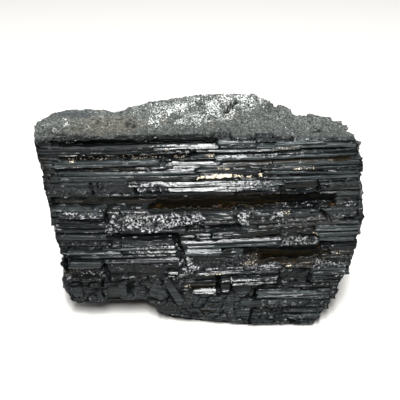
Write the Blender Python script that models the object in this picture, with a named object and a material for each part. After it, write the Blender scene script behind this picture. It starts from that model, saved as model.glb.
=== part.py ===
"""A black tourmaline crystal: a block of parallel prisms that grew side by side in one piece.

Blender 4.5, metres, +Z up. The prisms run along X. The striated face looks towards -Y, the rough
broken crust is on top, and the origin is under the middle of the block, on the surface it rests on.
Sizes in the tables and constants are millimetres, and MM turns them into metres.
"""

import math
import random

import bmesh
import bpy
import numpy as np
from mathutils import Matrix, Vector, noise

MM = 0.001
SEED = 11

# Driving dimensions of the block.
HALF_LENGTH = 59.0
CREST_HEIGHT = 75.5
FRONT_Y = -22.0
BACK_Y = 22.5
GRAIN_RISE_DEG = 1.8  # the prisms climb this much towards +X

# Outline of the two broken ends: (height, x).
LEFT_END = [
    (0, -42.5), (9, -45.5), (18, -47.2), (24, -48.4), (30, -50), (40, -51.5), (54, -53.5),
    (62, -55.5), (72, -56.5),
]
RIGHT_END = [
    (0, 42), (8, 47), (16, 50), (21, 51.6), (27, 55), (38, 56), (58, 55.5), (66, 54.5), (72, 52),
    (76, 48),
]

# The top: height along its front edge and its back edge, and where the back edge lies: (x, value).
TOP_FRONT_Z = [(-59, 70.5), (-40, 71.4), (0, 72.2), (40, 71.6), (56, 70.4)]
TOP_BACK_Z = [
    (-59, 68.5), (-50, 71.2), (-36, 70.8), (-30, 69.6), (-22, 72), (-8, 73.8), (4, 75.3), (19, 75.5),
    (25, 72.5), (33, 70), (36, 69.2), (41, 69.8), (47, 68.8), (51, 65.2), (56, 62),
]
TOP_BACK_Y = [(-59, 8), (-50, 12), (-20, 15), (0, 18), (20, 18), (35, 14), (50, 8), (57, 2)]

# Where the crust ends: (y, x).
CRUST_LEFT = [(-23, -53), (-14, -56), (-4, -58), (6, -57.5), (14, -53)]
CRUST_RIGHT = [(-23, 52), (-12, 55), (0, 53.5), (8, 49.5), (18, 47)]

# The underside: how far back its front edge lies, and the height where the front starts to draw in.
FOOT_FRONT_Y = [
    (-48, 1), (-32, 2.5), (-20, 1.5), (-15, -6), (-11, -15), (0, -18.5), (15, -20), (42, -19.3),
]
FOOT_TURN_Z = [(-48, 24), (-20, 22), (-8, 14), (45, 9)]

# The prisms inside the block: a honeycomb seen from the end.
PITCH = 5.6
CELL_RADIUS = 3.75
END_JITTER = 1.5
LEAST_LENGTH = 9.0
FRONT_COVER = 3.0  # how far the honeycomb stays behind the front prisms
CRUST_COVER = 4.2
HEART_INSET = 4.5


def along(profile, t):
    """The value of a (t, value) profile at t."""
    return float(np.interp(t, [p[0] for p in profile], [p[1] for p in profile]))


def front_y(x, z):
    """Where the front face lies, apart from its prisms."""
    turn = along(FOOT_TURN_Z, x)
    share = max(0.0, 1 - z / turn)
    return FRONT_Y + (along(FOOT_FRONT_Y, x) - FRONT_Y) * share**1.3


def back_y(x, z):
    """Where the back face lies: fullest at mid height, and drawn in at the foot and the top."""
    fullness = math.sin(math.pi * min(1.0, max(0.0, (z + 8) / 84)))
    waist = BACK_Y - 3.5 * (x / HALF_LENGTH) ** 2 - 1.2 * math.sin(x / 13)
    top = along(TOP_BACK_Y, x)
    share = min(1.0, max(0.0, (z - 45) / 28))
    return (waist - 5 * (1 - fullness)) * (1 - share) + (top + 1.5) * share


def top_z(x, y):
    """Height of the crust at a place seen from above."""
    depth = (y - FRONT_Y) / (along(TOP_BACK_Y, x) - FRONT_Y)
    share = min(1.15, max(0.0, depth))
    return along(TOP_FRONT_Z, x) * (1 - share) + along(TOP_BACK_Z, x) * share


def end_x(profile, y, z):
    """Where an end lies: its outline, rounded off a little towards the front and the back."""
    side = 1 if profile is LEFT_END else -1
    return along(profile, z) + side * 2.6 * abs(y / BACK_Y) ** 3


def inside(x, y, z):
    """Whether the block holds material here, with room left for the front prisms and the crust."""
    return (
        end_x(LEFT_END, y, z) < x < end_x(RIGHT_END, y, z)
        and front_y(x, z) + FRONT_COVER < y < back_y(x, z)
        and z < top_z(x, y) - CRUST_COVER
    )


def new_object(name, bm):
    """A mesh object from a bmesh that holds millimetres."""
    bmesh.ops.scale(bm, vec=(MM, MM, MM), verts=bm.verts)
    bmesh.ops.recalc_face_normals(bm, faces=bm.faces)
    mesh = bpy.data.meshes.new(name)
    bm.to_mesh(mesh)
    bm.free()
    return bpy.data.objects.new(name, mesh)


def prism(name, section, start, end, roll_deg=0.0, skew=(0.0, 0.0, 0.0, 0.0)):
    """A prism from start to end. section holds its (y, z) corners, and skew slants the two end faces."""
    bm = bmesh.new()
    roll = Matrix.Rotation(math.radians(roll_deg), 2)
    rings = []
    for centre, (by_y, by_z) in ((start, skew[:2]), (end, skew[2:])):
        ring = []
        for corner in section:
            y, z = roll @ Vector(corner)
            place = Vector(centre) + Vector((by_y * y + by_z * z, y, z))
            ring.append(bm.verts.new(place))
        rings.append(ring)
    count = len(section)
    for i in range(count):
        j = (i + 1) % count
        bm.faces.new((rings[0][i], rings[0][j], rings[1][j], rings[1][i]))
    bm.faces.new(rings[0][::-1])
    bm.faces.new(rings[1])
    return new_object(name, bm)


def honeycomb(rng):
    """The parallel prisms that fill the block, each as long as the block is at its place."""
    rise = math.tan(math.radians(GRAIN_RISE_DEG))
    row_step = PITCH * math.sqrt(3) / 2
    made = []
    for row in range(-1, int(CREST_HEIGHT / row_step) + 1):
        for column in range(-5, 6):
            y = (column + 0.5 * (row % 2)) * PITCH + rng.uniform(-0.5, 0.5)
            z = row * row_step + 2.0 + rng.uniform(-0.5, 0.5)
            held = [x for x in range(-60, 61) if inside(x, y, max(0.5, z + rise * x))]
            if len(held) < LEAST_LENGTH:
                continue
            ends = [end + rng.uniform(-1, 1) * END_JITTER for end in (held[0], held[-1])]
            # Tourmaline has three broad sides and three narrow ones.
            wide = [CELL_RADIUS * share for share in (0.98, 1.06)]
            radii = [wide[corner % 2] * rng.uniform(0.97, 1.03) for corner in range(6)]
            turns = [math.radians(60 * corner + 30) for corner in range(6)]
            section = [(r * math.cos(turn), r * math.sin(turn)) for r, turn in zip(radii, turns)]
            skew = [rng.uniform(-0.3, 0.3) for _ in range(4)]
            made.append(
                prism(
                    f"honeycomb_{len(made)}", section,
                    (ends[0], y, z + rise * ends[0]), (ends[1], y, z + rise * ends[1]),
                    rng.uniform(-8, 8), skew,
                )
            )
    return made


# The prisms of the front face, from the top down:
# (left x, right x, middle height at the left, at the right, width, proud of the face, slope).
# slope is the share of the width that is a bevel facing up. The rest of the side is upright.
FRONT_PRISMS = [
    (-52, 3.6, 70.2, 71.0, 2.4, -2.2, 0.2),
    (4.3, 51, 69.6, 70.2, 3.3, 0.2, 0.35),
    (-54, 7, 68.2, 70.0, 1.9, 0.5, 0.75),
    (-53.5, 6.3, 66.5, 67.8, 1.9, 0.1, 0.4),
    (-15, 24, 65.6, 67.5, 1.8, 0.1, 0.8),
    (-48.6, 0, 62.7, 64.1, 2.1, 0.6, 0.5),
    (-2, 54.5, 64.0, 66.9, 2.4, 0.4, 0.55),
    (-49.5, -2, 59.4, 61.3, 2.7, 0.3, 0.45),
    (1, 55.5, 61.2, 63.6, 2.6, 0.2, 0.5),
    (22, 55.7, 59.1, 60.4, 2.6, 0.1, 0.4),
    (-49.5, -22, 57.0, 57.8, 2.3, 0.0, 0.4),
    (-22.5, 35, 56.0, 57.2, 2.1, 1.0, 0.95),
    (35.5, 55, 56.8, 57.8, 2.6, 0.4, 0.4),
    (-50.5, -19, 54.7, 55.5, 2.7, 0.1, 0.3),
    (-19, 26, 53.9, 55.0, 2.1, 1.0, 0.95),
    (27, 41, 54.2, 54.6, 2.4, -0.8, 0.3),
    (41, 55.3, 54.3, 55.1, 2.7, 0.4, 0.3),
    (-50.5, -12, 52.0, 52.8, 2.7, 0.2, 0.3),
    (-12, 39.5, 51.8, 53.0, 2.1, -1.2, 0.3),
    (-49, -10.5, 49.6, 50.3, 2.3, 0.4, 0.3),
    (-12, 35.5, 49.3, 50.4, 3.0, -1.8, 0.3),
    (36, 55, 51.3, 52.4, 3.4, 0.5, 0.3),
    (-49, -11.7, 46.5, 47.2, 1.9, 0.3, 0.5),
    (-12, 44, 46.7, 48.6, 2.6, -1.2, 0.3),
    (42.5, 55.5, 48.1, 48.9, 2.7, 0.4, 0.3),
    (-48.3, -28.5, 44.2, 44.7, 2.2, 0.3, 0.6),
    (-28.8, 3, 42.3, 42.8, 5.4, 0.6, 0.45),
    (3, 17.5, 42.7, 43.1, 3.5, -0.2, 0.4),
    (17, 27.5, 43.3, 43.6, 4.6, 0.3, 0.45),
    (27.5, 56, 42.8, 45.4, 3.5, 0.3, 0.4),
    (-47.8, -27.9, 40.8, 41.2, 3.7, 0.0, 0.3),
    (-29, -3.5, 38.2, 38.8, 2.3, -0.5, 0.4),
    (-2.2, 40, 38.6, 40.4, 2.2, -0.3, 0.5),
    (29, 56.5, 39.0, 41.2, 3.4, 0.5, 0.3),
    (-47, -28.9, 37.5, 37.9, 2.8, 0.1, 0.3),
    (-37.5, -4.2, 33.9, 34.8, 3.2, 1.7, 0.4),
    (-1.8, 36, 34.6, 36.7, 2.9, 0.1, 0.3),
    (36, 56.3, 35.5, 36.9, 3.2, 0.6, 0.3),
    (-2.9, 47, 31.7, 34.2, 2.0, 0.7, 0.85),
    (-47, -30, 33.0, 33.5, 2.6, 0.0, 0.3),
    (-46.7, -3.6, 30.3, 31.3, 3.1, 1.2, 0.45),
    (-2.5, 45, 29.3, 32.0, 2.0, 0.3, 0.6),
    (41.6, 56, 31.2, 32.1, 3.0, 0.5, 0.3),
    (-44, -32.9, 26.1, 26.2, 3.4, 1.0, 0.35),
    (-32.2, -3.3, 27.0, 27.8, 2.9, 0.8, 0.5),
    (-2.2, 54.6, 25.9, 28.2, 2.8, -1.4, 0.3),
    (-45.8, -23.3, 20.4, 20.6, 1.4, 3.2, 0.5),
    (-32, -3.6, 23.6, 23.9, 3.2, 0.6, 0.3),
    (-2.2, 31, 22.5, 23.7, 2.3, 0.6, 0.6),
    (33, 52.4, 23.8, 25.1, 2.8, 0.4, 0.3),
    (33, 52, 20.9, 22.0, 2.5, 0.3, 0.3),
    (-2, 8, 20.0, 20.3, 2.2, 0.2, 0.3),
    (36.8, 50, 17.6, 18.4, 2.5, 0.2, 0.3),
    (8, 33.4, 16.5, 18.3, 2.0, 2.8, 0.9),
    (8, 11.6, 14.0, 14.1, 3.2, 2.4, 0.2),
    (19.7, 50.5, 12.8, 14.7, 2.8, 1.0, 0.3),
    (15.6, 49, 9.6, 11.4, 2.7, 0.6, 0.3),
    (19, 47.2, 6.3, 7.8, 2.7, 0.4, 0.3),
    (12, 43.5, 3.2, 4.4, 2.8, 0.3, 0.3),
]
ROOT_DEPTH = 7.0  # how far back a face prism reaches into the block


def face_section(width, slope, facing):
    """Corners of a face prism: upright below, bevelled above. facing: -1 is the front, 1 the back."""
    low, high = -width / 2, width / 2
    bevel = slope * width
    chamfer = min(0.22, 0.7 * (1 - slope)) * width
    corners = [
        (0, low + chamfer), (0, high - bevel), (bevel, high), (ROOT_DEPTH, high + 0.2),
        (ROOT_DEPTH, low - 0.2), (chamfer, low),
    ]
    return [(-facing * y, z) for y, z in corners]


def heart():
    """The solid middle of the block, which every prism grows out of."""
    levels = [0.5, 12, 24, 36, 48, 58, 65]
    stations = 8
    bm = bmesh.new()
    rings = []
    for z in levels:
        left, right = end_x(LEFT_END, 0, z) + HEART_INSET, end_x(RIGHT_END, 0, z) - HEART_INSET
        xs = [left + (right - left) * i / stations for i in range(stations + 1)]
        front = [(x, front_y(x, z) + HEART_INSET, z) for x in xs]
        back = [(x, back_y(x, z) - HEART_INSET, z) for x in reversed(xs)]
        rings.append([bm.verts.new(place) for place in front + back])
    count = len(rings[0])
    for lower, upper in zip(rings, rings[1:]):
        for i in range(count):
            j = (i + 1) % count
            bm.faces.new((lower[i], lower[j], upper[j], upper[i]))
    bm.faces.new(rings[0][::-1])
    bm.faces.new(rings[-1])
    bmesh.ops.triangulate(bm, faces=bm.faces)
    return new_object("heart", bm)


def front_prisms(rng):
    made = []
    for left, right, z_left, z_right, width, proud, slope in FRONT_PRISMS:
        right = min(right, end_x(RIGHT_END, FRONT_Y, z_right))
        face = [front_y(x, z) - proud for x, z in ((left, z_left), (right, z_right))]
        slant = 0.35 * min(1, (right - left) / 20)
        skew = [rng.uniform(-slant, slant) for _ in range(4)]
        made.append(
            prism(
                f"front_{len(made)}", face_section(width, slope, -1),
                (left, face[0] + rng.uniform(-0.3, 0.3), z_left),
                (right, face[1] + rng.uniform(-0.3, 0.3), z_right),
                rng.uniform(-2.5, 2.5), skew,
            )
        )
    return made


def back_prisms(rng):
    """The back has the same make as the front, with prisms of free widths and lengths."""
    rise = math.tan(math.radians(GRAIN_RISE_DEG))
    made = []
    z = 4.0
    while z < 69:
        width = rng.uniform(2.6, 5.2)
        x = end_x(LEFT_END, BACK_Y, z)
        last = end_x(RIGHT_END, BACK_Y, z)
        while x < last - 8:
            right = min(last, x + rng.uniform(22, 85))
            middle = (x + right) / 2
            proud = rng.uniform(-0.9, 1.1)
            made.append(
                prism(
                    f"back_{len(made)}",
                    face_section(width * rng.uniform(0.9, 1.05), rng.uniform(0.2, 0.6), 1),
                    (x + rng.uniform(-1, 1), back_y(x, z) + proud - 0.4, z + rise * (x - middle)),
                    (right, back_y(right, z) + proud - 0.4, z + rise * (right - middle)),
                    rng.uniform(-4, 4), [rng.uniform(-0.4, 0.4) for _ in range(4)],
                )
            )
            x = right + rng.uniform(-0.5, 1.2)
        z += width * 0.93
    return made


def crust():
    """The rough broken slab along the top."""
    stations, steps, thickness = 32, 9, 7.0
    bm = bmesh.new()
    tops, roots = [], []
    for i in range(stations + 1):
        share = i / stations
        front, back = FRONT_Y - 0.9, along(TOP_BACK_Y, (2 * share - 1) * HALF_LENGTH)
        tops.append([])
        roots.append([])
        for j in range(steps + 1):
            y = front + (back - front) * j / steps
            x = along(CRUST_LEFT, y) * (1 - share) + along(CRUST_RIGHT, y) * share
            coarse = noise.fractal(Vector((x, y, 3.0)) / 11, 1.0, 2.0, 4)
            fine = noise.noise(Vector((x, y, 9.0)) / 2.7)
            edge = min(1.0, j / 2, (steps - j) / 1.5)
            z = top_z(x, y) + (1.1 * coarse + 0.5 * fine) * edge
            shift = 0.7 * noise.noise(Vector((x / 4, y / 4, 20.0))) * (1 if j in (0, steps) else 0)
            tops[-1].append(bm.verts.new((x, y + shift, z)))
            tuck = 1.6 * (1 - 2 * j / steps)
            roots[-1].append(bm.verts.new((x * 0.985, y + tuck, min(z, top_z(x, y)) - thickness)))
    for sheet, turn in ((tops, 1), (roots, -1)):
        for i in range(stations):
            for j in range(steps):
                corners = (sheet[i][j], sheet[i + 1][j], sheet[i + 1][j + 1], sheet[i][j + 1])
                bm.faces.new(corners[::turn])
    for i in range(stations):
        for j in (0, steps):
            bm.faces.new((tops[i][j], roots[i][j], roots[i + 1][j], tops[i + 1][j]))
    for j in range(steps):
        for i in (0, stations):
            bm.faces.new((tops[i][j], tops[i][j + 1], roots[i][j + 1], roots[i][j]))
    bmesh.ops.triangulate(bm, faces=bm.faces)
    return new_object("tourmaline_crystal", bm)


# Broken lumps low on the front: (low x, high x, low y, high y, low z, high z).
LUMPS = [
    (-50.5, -40, -18.5, 3, 8.5, 18.5),
    (-45.5, -33.2, -19.5, 3, 6.3, 20.5),
    (-34, -24, -18.5, 4, 9.5, 20.5),
    (-26, -15, -19, 3, 9, 20.5),
    (-17, -7, -21, -4, 4.5, 19.5),
    (-8, 3, -22.5, -6, 0.5, 14),
    (1, 14, -21.5, -8, 0.8, 14.5),
    (9, 22, -21.3, -8, -0.5, 10),
]


def lumps(rng):
    """Rock-shaped lumps: each the hull of points scattered over an oval."""
    made = []
    for x0, x1, y0, y1, z0, z1 in LUMPS:
        bm = bmesh.new()
        for _ in range(30):
            way = Vector([rng.gauss(0, 1) for _ in range(3)]).normalized()
            # Pushed out towards the corners of the box.
            boxy = way / max(abs(c) for c in way)
            at = way.lerp(boxy, 0.6) * rng.uniform(0.92, 1.0)
            x = (x0 + x1 + (x1 - x0) * at.x) / 2
            y = (y0 + y1 + (y1 - y0) * at.y) / 2
            z = (z0 + z1 + (z1 - z0) * at.z) / 2
            bm.verts.new((x, y, z))
        bmesh.ops.convex_hull(bm, input=bm.verts)
        loose = [v for v in bm.verts if not v.link_faces]
        bmesh.ops.delete(bm, geom=loose, context="VERTS")
        made.append(new_object(f"lump_{len(made)}", bm))
    return made


def slanting_wedge():
    """The splinter that lies across the grain, low on the front."""
    section = [(-2.6, -1.5), (-2.9, 0.6), (-1.6, 1.7), (5, 1.7), (5, -1.7)]
    wedge = prism("wedge", section, (-5.5, 0, 0), (5.5, 0, 0), 0, (0.2, 0.1, 0.3, -0.2))
    wedge.data.transform(Matrix.Rotation(math.radians(52), 4, "Y"))
    wedge.data.transform(Matrix.Translation(Vector((-5.2, -19.6, 14.5)) * MM))
    return wedge


def box(name, low, high):
    bm = bmesh.new()
    bmesh.ops.create_cube(bm, size=1)
    size = [h - l for l, h in zip(low, high)]
    middle = [(h + l) / 2 for l, h in zip(low, high)]
    bmesh.ops.scale(bm, vec=size, verts=bm.verts)
    bmesh.ops.translate(bm, vec=middle, verts=bm.verts)
    return new_object(name, bm)


def add_helper(obj, collection):
    """Links an object that only shapes the crystal, and is no piece of it."""
    collection.objects.link(obj)
    obj.hide_render = True
    obj.display_type = "WIRE"


def black_tourmaline():
    material = bpy.data.materials.new("black_tourmaline")
    material.use_nodes = True
    shader = material.node_tree.nodes["Principled BSDF"]
    shader.inputs["Base Color"].default_value = (0.020, 0.022, 0.024, 1)
    shader.inputs["Roughness"].default_value = 0.32
    shader.inputs["Metallic"].default_value = 0.0
    return material


def boolean(obj, operation, **operand):
    modifier = obj.modifiers.new(operation.title(), "BOOLEAN")
    modifier.operation = operation
    modifier.solver = "EXACT"
    for name, value in operand.items():
        setattr(modifier, name, value)


def drop_bubbles(mesh):
    """Keeps the outer skin, and fills any bubble that the prisms closed in between them."""
    bm = bmesh.new()
    bm.from_mesh(mesh)
    bm.verts.ensure_lookup_table()
    outer = max(bm.verts, key=lambda v: v.co.z)
    skin, edge_of_search = {outer}, [outer]
    while edge_of_search:
        vert = edge_of_search.pop()
        for edge in vert.link_edges:
            other = edge.other_vert(vert)
            if other not in skin:
                skin.add(other)
                edge_of_search.append(other)
    bmesh.ops.delete(bm, geom=[v for v in bm.verts if v not in skin], context="VERTS")
    bm.to_mesh(mesh)
    bm.free()


def settle(obj):
    """Applies the modifiers and puts the origin under the middle of the block."""
    bpy.context.view_layer.update()
    graph = bpy.context.evaluated_depsgraph_get()
    obj.data = bpy.data.meshes.new_from_object(obj.evaluated_get(graph))
    obj.data.name = obj.name
    obj.modifiers.clear()
    drop_bubbles(obj.data)
    places = np.array([v.co for v in obj.data.vertices])
    low, high = places.min(axis=0), places.max(axis=0)
    obj.data.transform(Matrix.Translation((-(low[0] + high[0]) / 2, -(low[1] + high[1]) / 2, -low[2])))


def main():
    for obj in list(bpy.data.objects):
        bpy.data.objects.remove(obj)
    rng = random.Random(SEED)
    scene = bpy.context.scene.collection
    grown = bpy.data.collections.new("prisms")
    scene.children.link(grown)
    prisms = [heart(), *honeycomb(rng), *front_prisms(rng), *back_prisms(rng)]
    for obj in [*prisms, *lumps(rng), slanting_wedge()]:
        add_helper(obj, grown)
    ground = box("ground_cut", (-90, -60, -30), (90, 60, 0))
    add_helper(ground, scene)

    crystal = crust()
    scene.objects.link(crystal)
    boolean(crystal, "UNION", operand_type="COLLECTION", collection=grown)
    boolean(crystal, "DIFFERENCE", object=ground)
    settle(crystal)
    crystal.data.materials.clear()
    crystal.data.materials.append(black_tourmaline())


main()
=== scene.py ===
import itertools
import math
import time

import bmesh
import bpy
import numpy as np
from mathutils import Matrix, Vector


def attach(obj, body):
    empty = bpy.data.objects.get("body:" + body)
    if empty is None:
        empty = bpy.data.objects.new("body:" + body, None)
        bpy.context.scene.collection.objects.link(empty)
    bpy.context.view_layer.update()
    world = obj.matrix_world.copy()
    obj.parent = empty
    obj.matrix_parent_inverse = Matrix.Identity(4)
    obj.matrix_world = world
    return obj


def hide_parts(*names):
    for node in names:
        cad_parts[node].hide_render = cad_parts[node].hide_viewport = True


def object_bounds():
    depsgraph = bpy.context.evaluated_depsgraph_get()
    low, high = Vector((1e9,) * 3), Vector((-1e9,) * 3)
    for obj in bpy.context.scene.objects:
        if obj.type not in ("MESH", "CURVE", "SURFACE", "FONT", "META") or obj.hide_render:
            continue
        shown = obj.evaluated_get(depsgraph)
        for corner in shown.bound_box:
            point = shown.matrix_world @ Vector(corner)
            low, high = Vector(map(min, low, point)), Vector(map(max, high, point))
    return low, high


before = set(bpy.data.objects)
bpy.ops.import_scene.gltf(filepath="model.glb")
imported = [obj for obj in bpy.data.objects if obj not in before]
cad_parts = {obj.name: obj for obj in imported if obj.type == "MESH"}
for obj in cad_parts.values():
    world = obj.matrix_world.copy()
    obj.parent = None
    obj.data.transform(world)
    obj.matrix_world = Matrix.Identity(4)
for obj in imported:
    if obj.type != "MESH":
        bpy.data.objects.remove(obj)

started = time.perf_counter()
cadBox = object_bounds()
mm = 0.001
scene = bpy.context.scene


def stage(text):
    print("[%5.1f s] %s" % (time.perf_counter() - started, text))


def ramp(profile, at):  # profile is a list of (position, value)
    return np.interp(at, [p[0] for p in profile], [p[1] for p in profile])


def smooth(t):
    t = np.clip(t, 0.0, 1.0)
    return t * t * (3 - 2 * t)


# Everything in these tables is in millimetres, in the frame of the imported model.
# The face is the striated side towards -Y. Fibres climb a little towards +X, so a
# second height, "level", is measured from the fibre that a spot lies on.
face = {
    "plane": -22.75,          # y of the face before any relief
    "climb": 0.00029,         # how fast the fibres curve upwards
    "cell": 0.1,              # spacing of the relief map
    "x": (-60.0, 60.0),
    "level": (-8.0, 80.0),
    "gap": -0.55,             # ground between the planks
    "facetSlope": 0.62,       # how steeply an upper facet leans back
    "underside": 0.14,        # share of a plank's width that turns under
    "wornEdge": 0.06,         # share of its width worn off at either edge
    # where the face starts to draw in, how far, and the edge it turns under at
    "turn": [(-60, 26), (-20, 24), (-8, 16), (45, 10)],
    "lowY": [(-60, -19), (-20, -20), (-10, -20), (0, -20.8), (15, -21.8), (45, -21.2)],
    "under": [
        (-60, 11), (-47, 10), (-44.5, 8.4), (-35, 8.2), (-33, 9.6), (-19, 9.8), (-16, 6.5),
        (-13, 4.2), (-9, 3.0), (0, 2.4), (8, 1.6), (15, 1.0), (40, 1.0), (46, 3),
    ],
    # how steeply it runs back below that edge, and how far at most
    "tuckSlope": 5.0,
    "tuck": [(-60, 23), (-20, 22), (-15, 12), (-11, 5.5), (0, 3), (45, 3)],
    # outline of the face
    "left": [
        (0, -42), (9, -45), (18, -46.2), (24, -46.6), (30, -48.4),
        (40, -50), (54, -51.5), (62, -53), (71, -53.3),
    ],
    "right": [(0, 41), (8, 45.5), (16, 49), (27, 53), (38, 54.5), (58, 54.5), (66, 53.5), (71, 52)],
    "top": [
        (-60, 71.6), (-46, 71.8), (-32, 72.2), (-13, 72.7),
        (0, 73), (6.1, 73), (7, 72.4), (50, 71.8),
    ],
}

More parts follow.
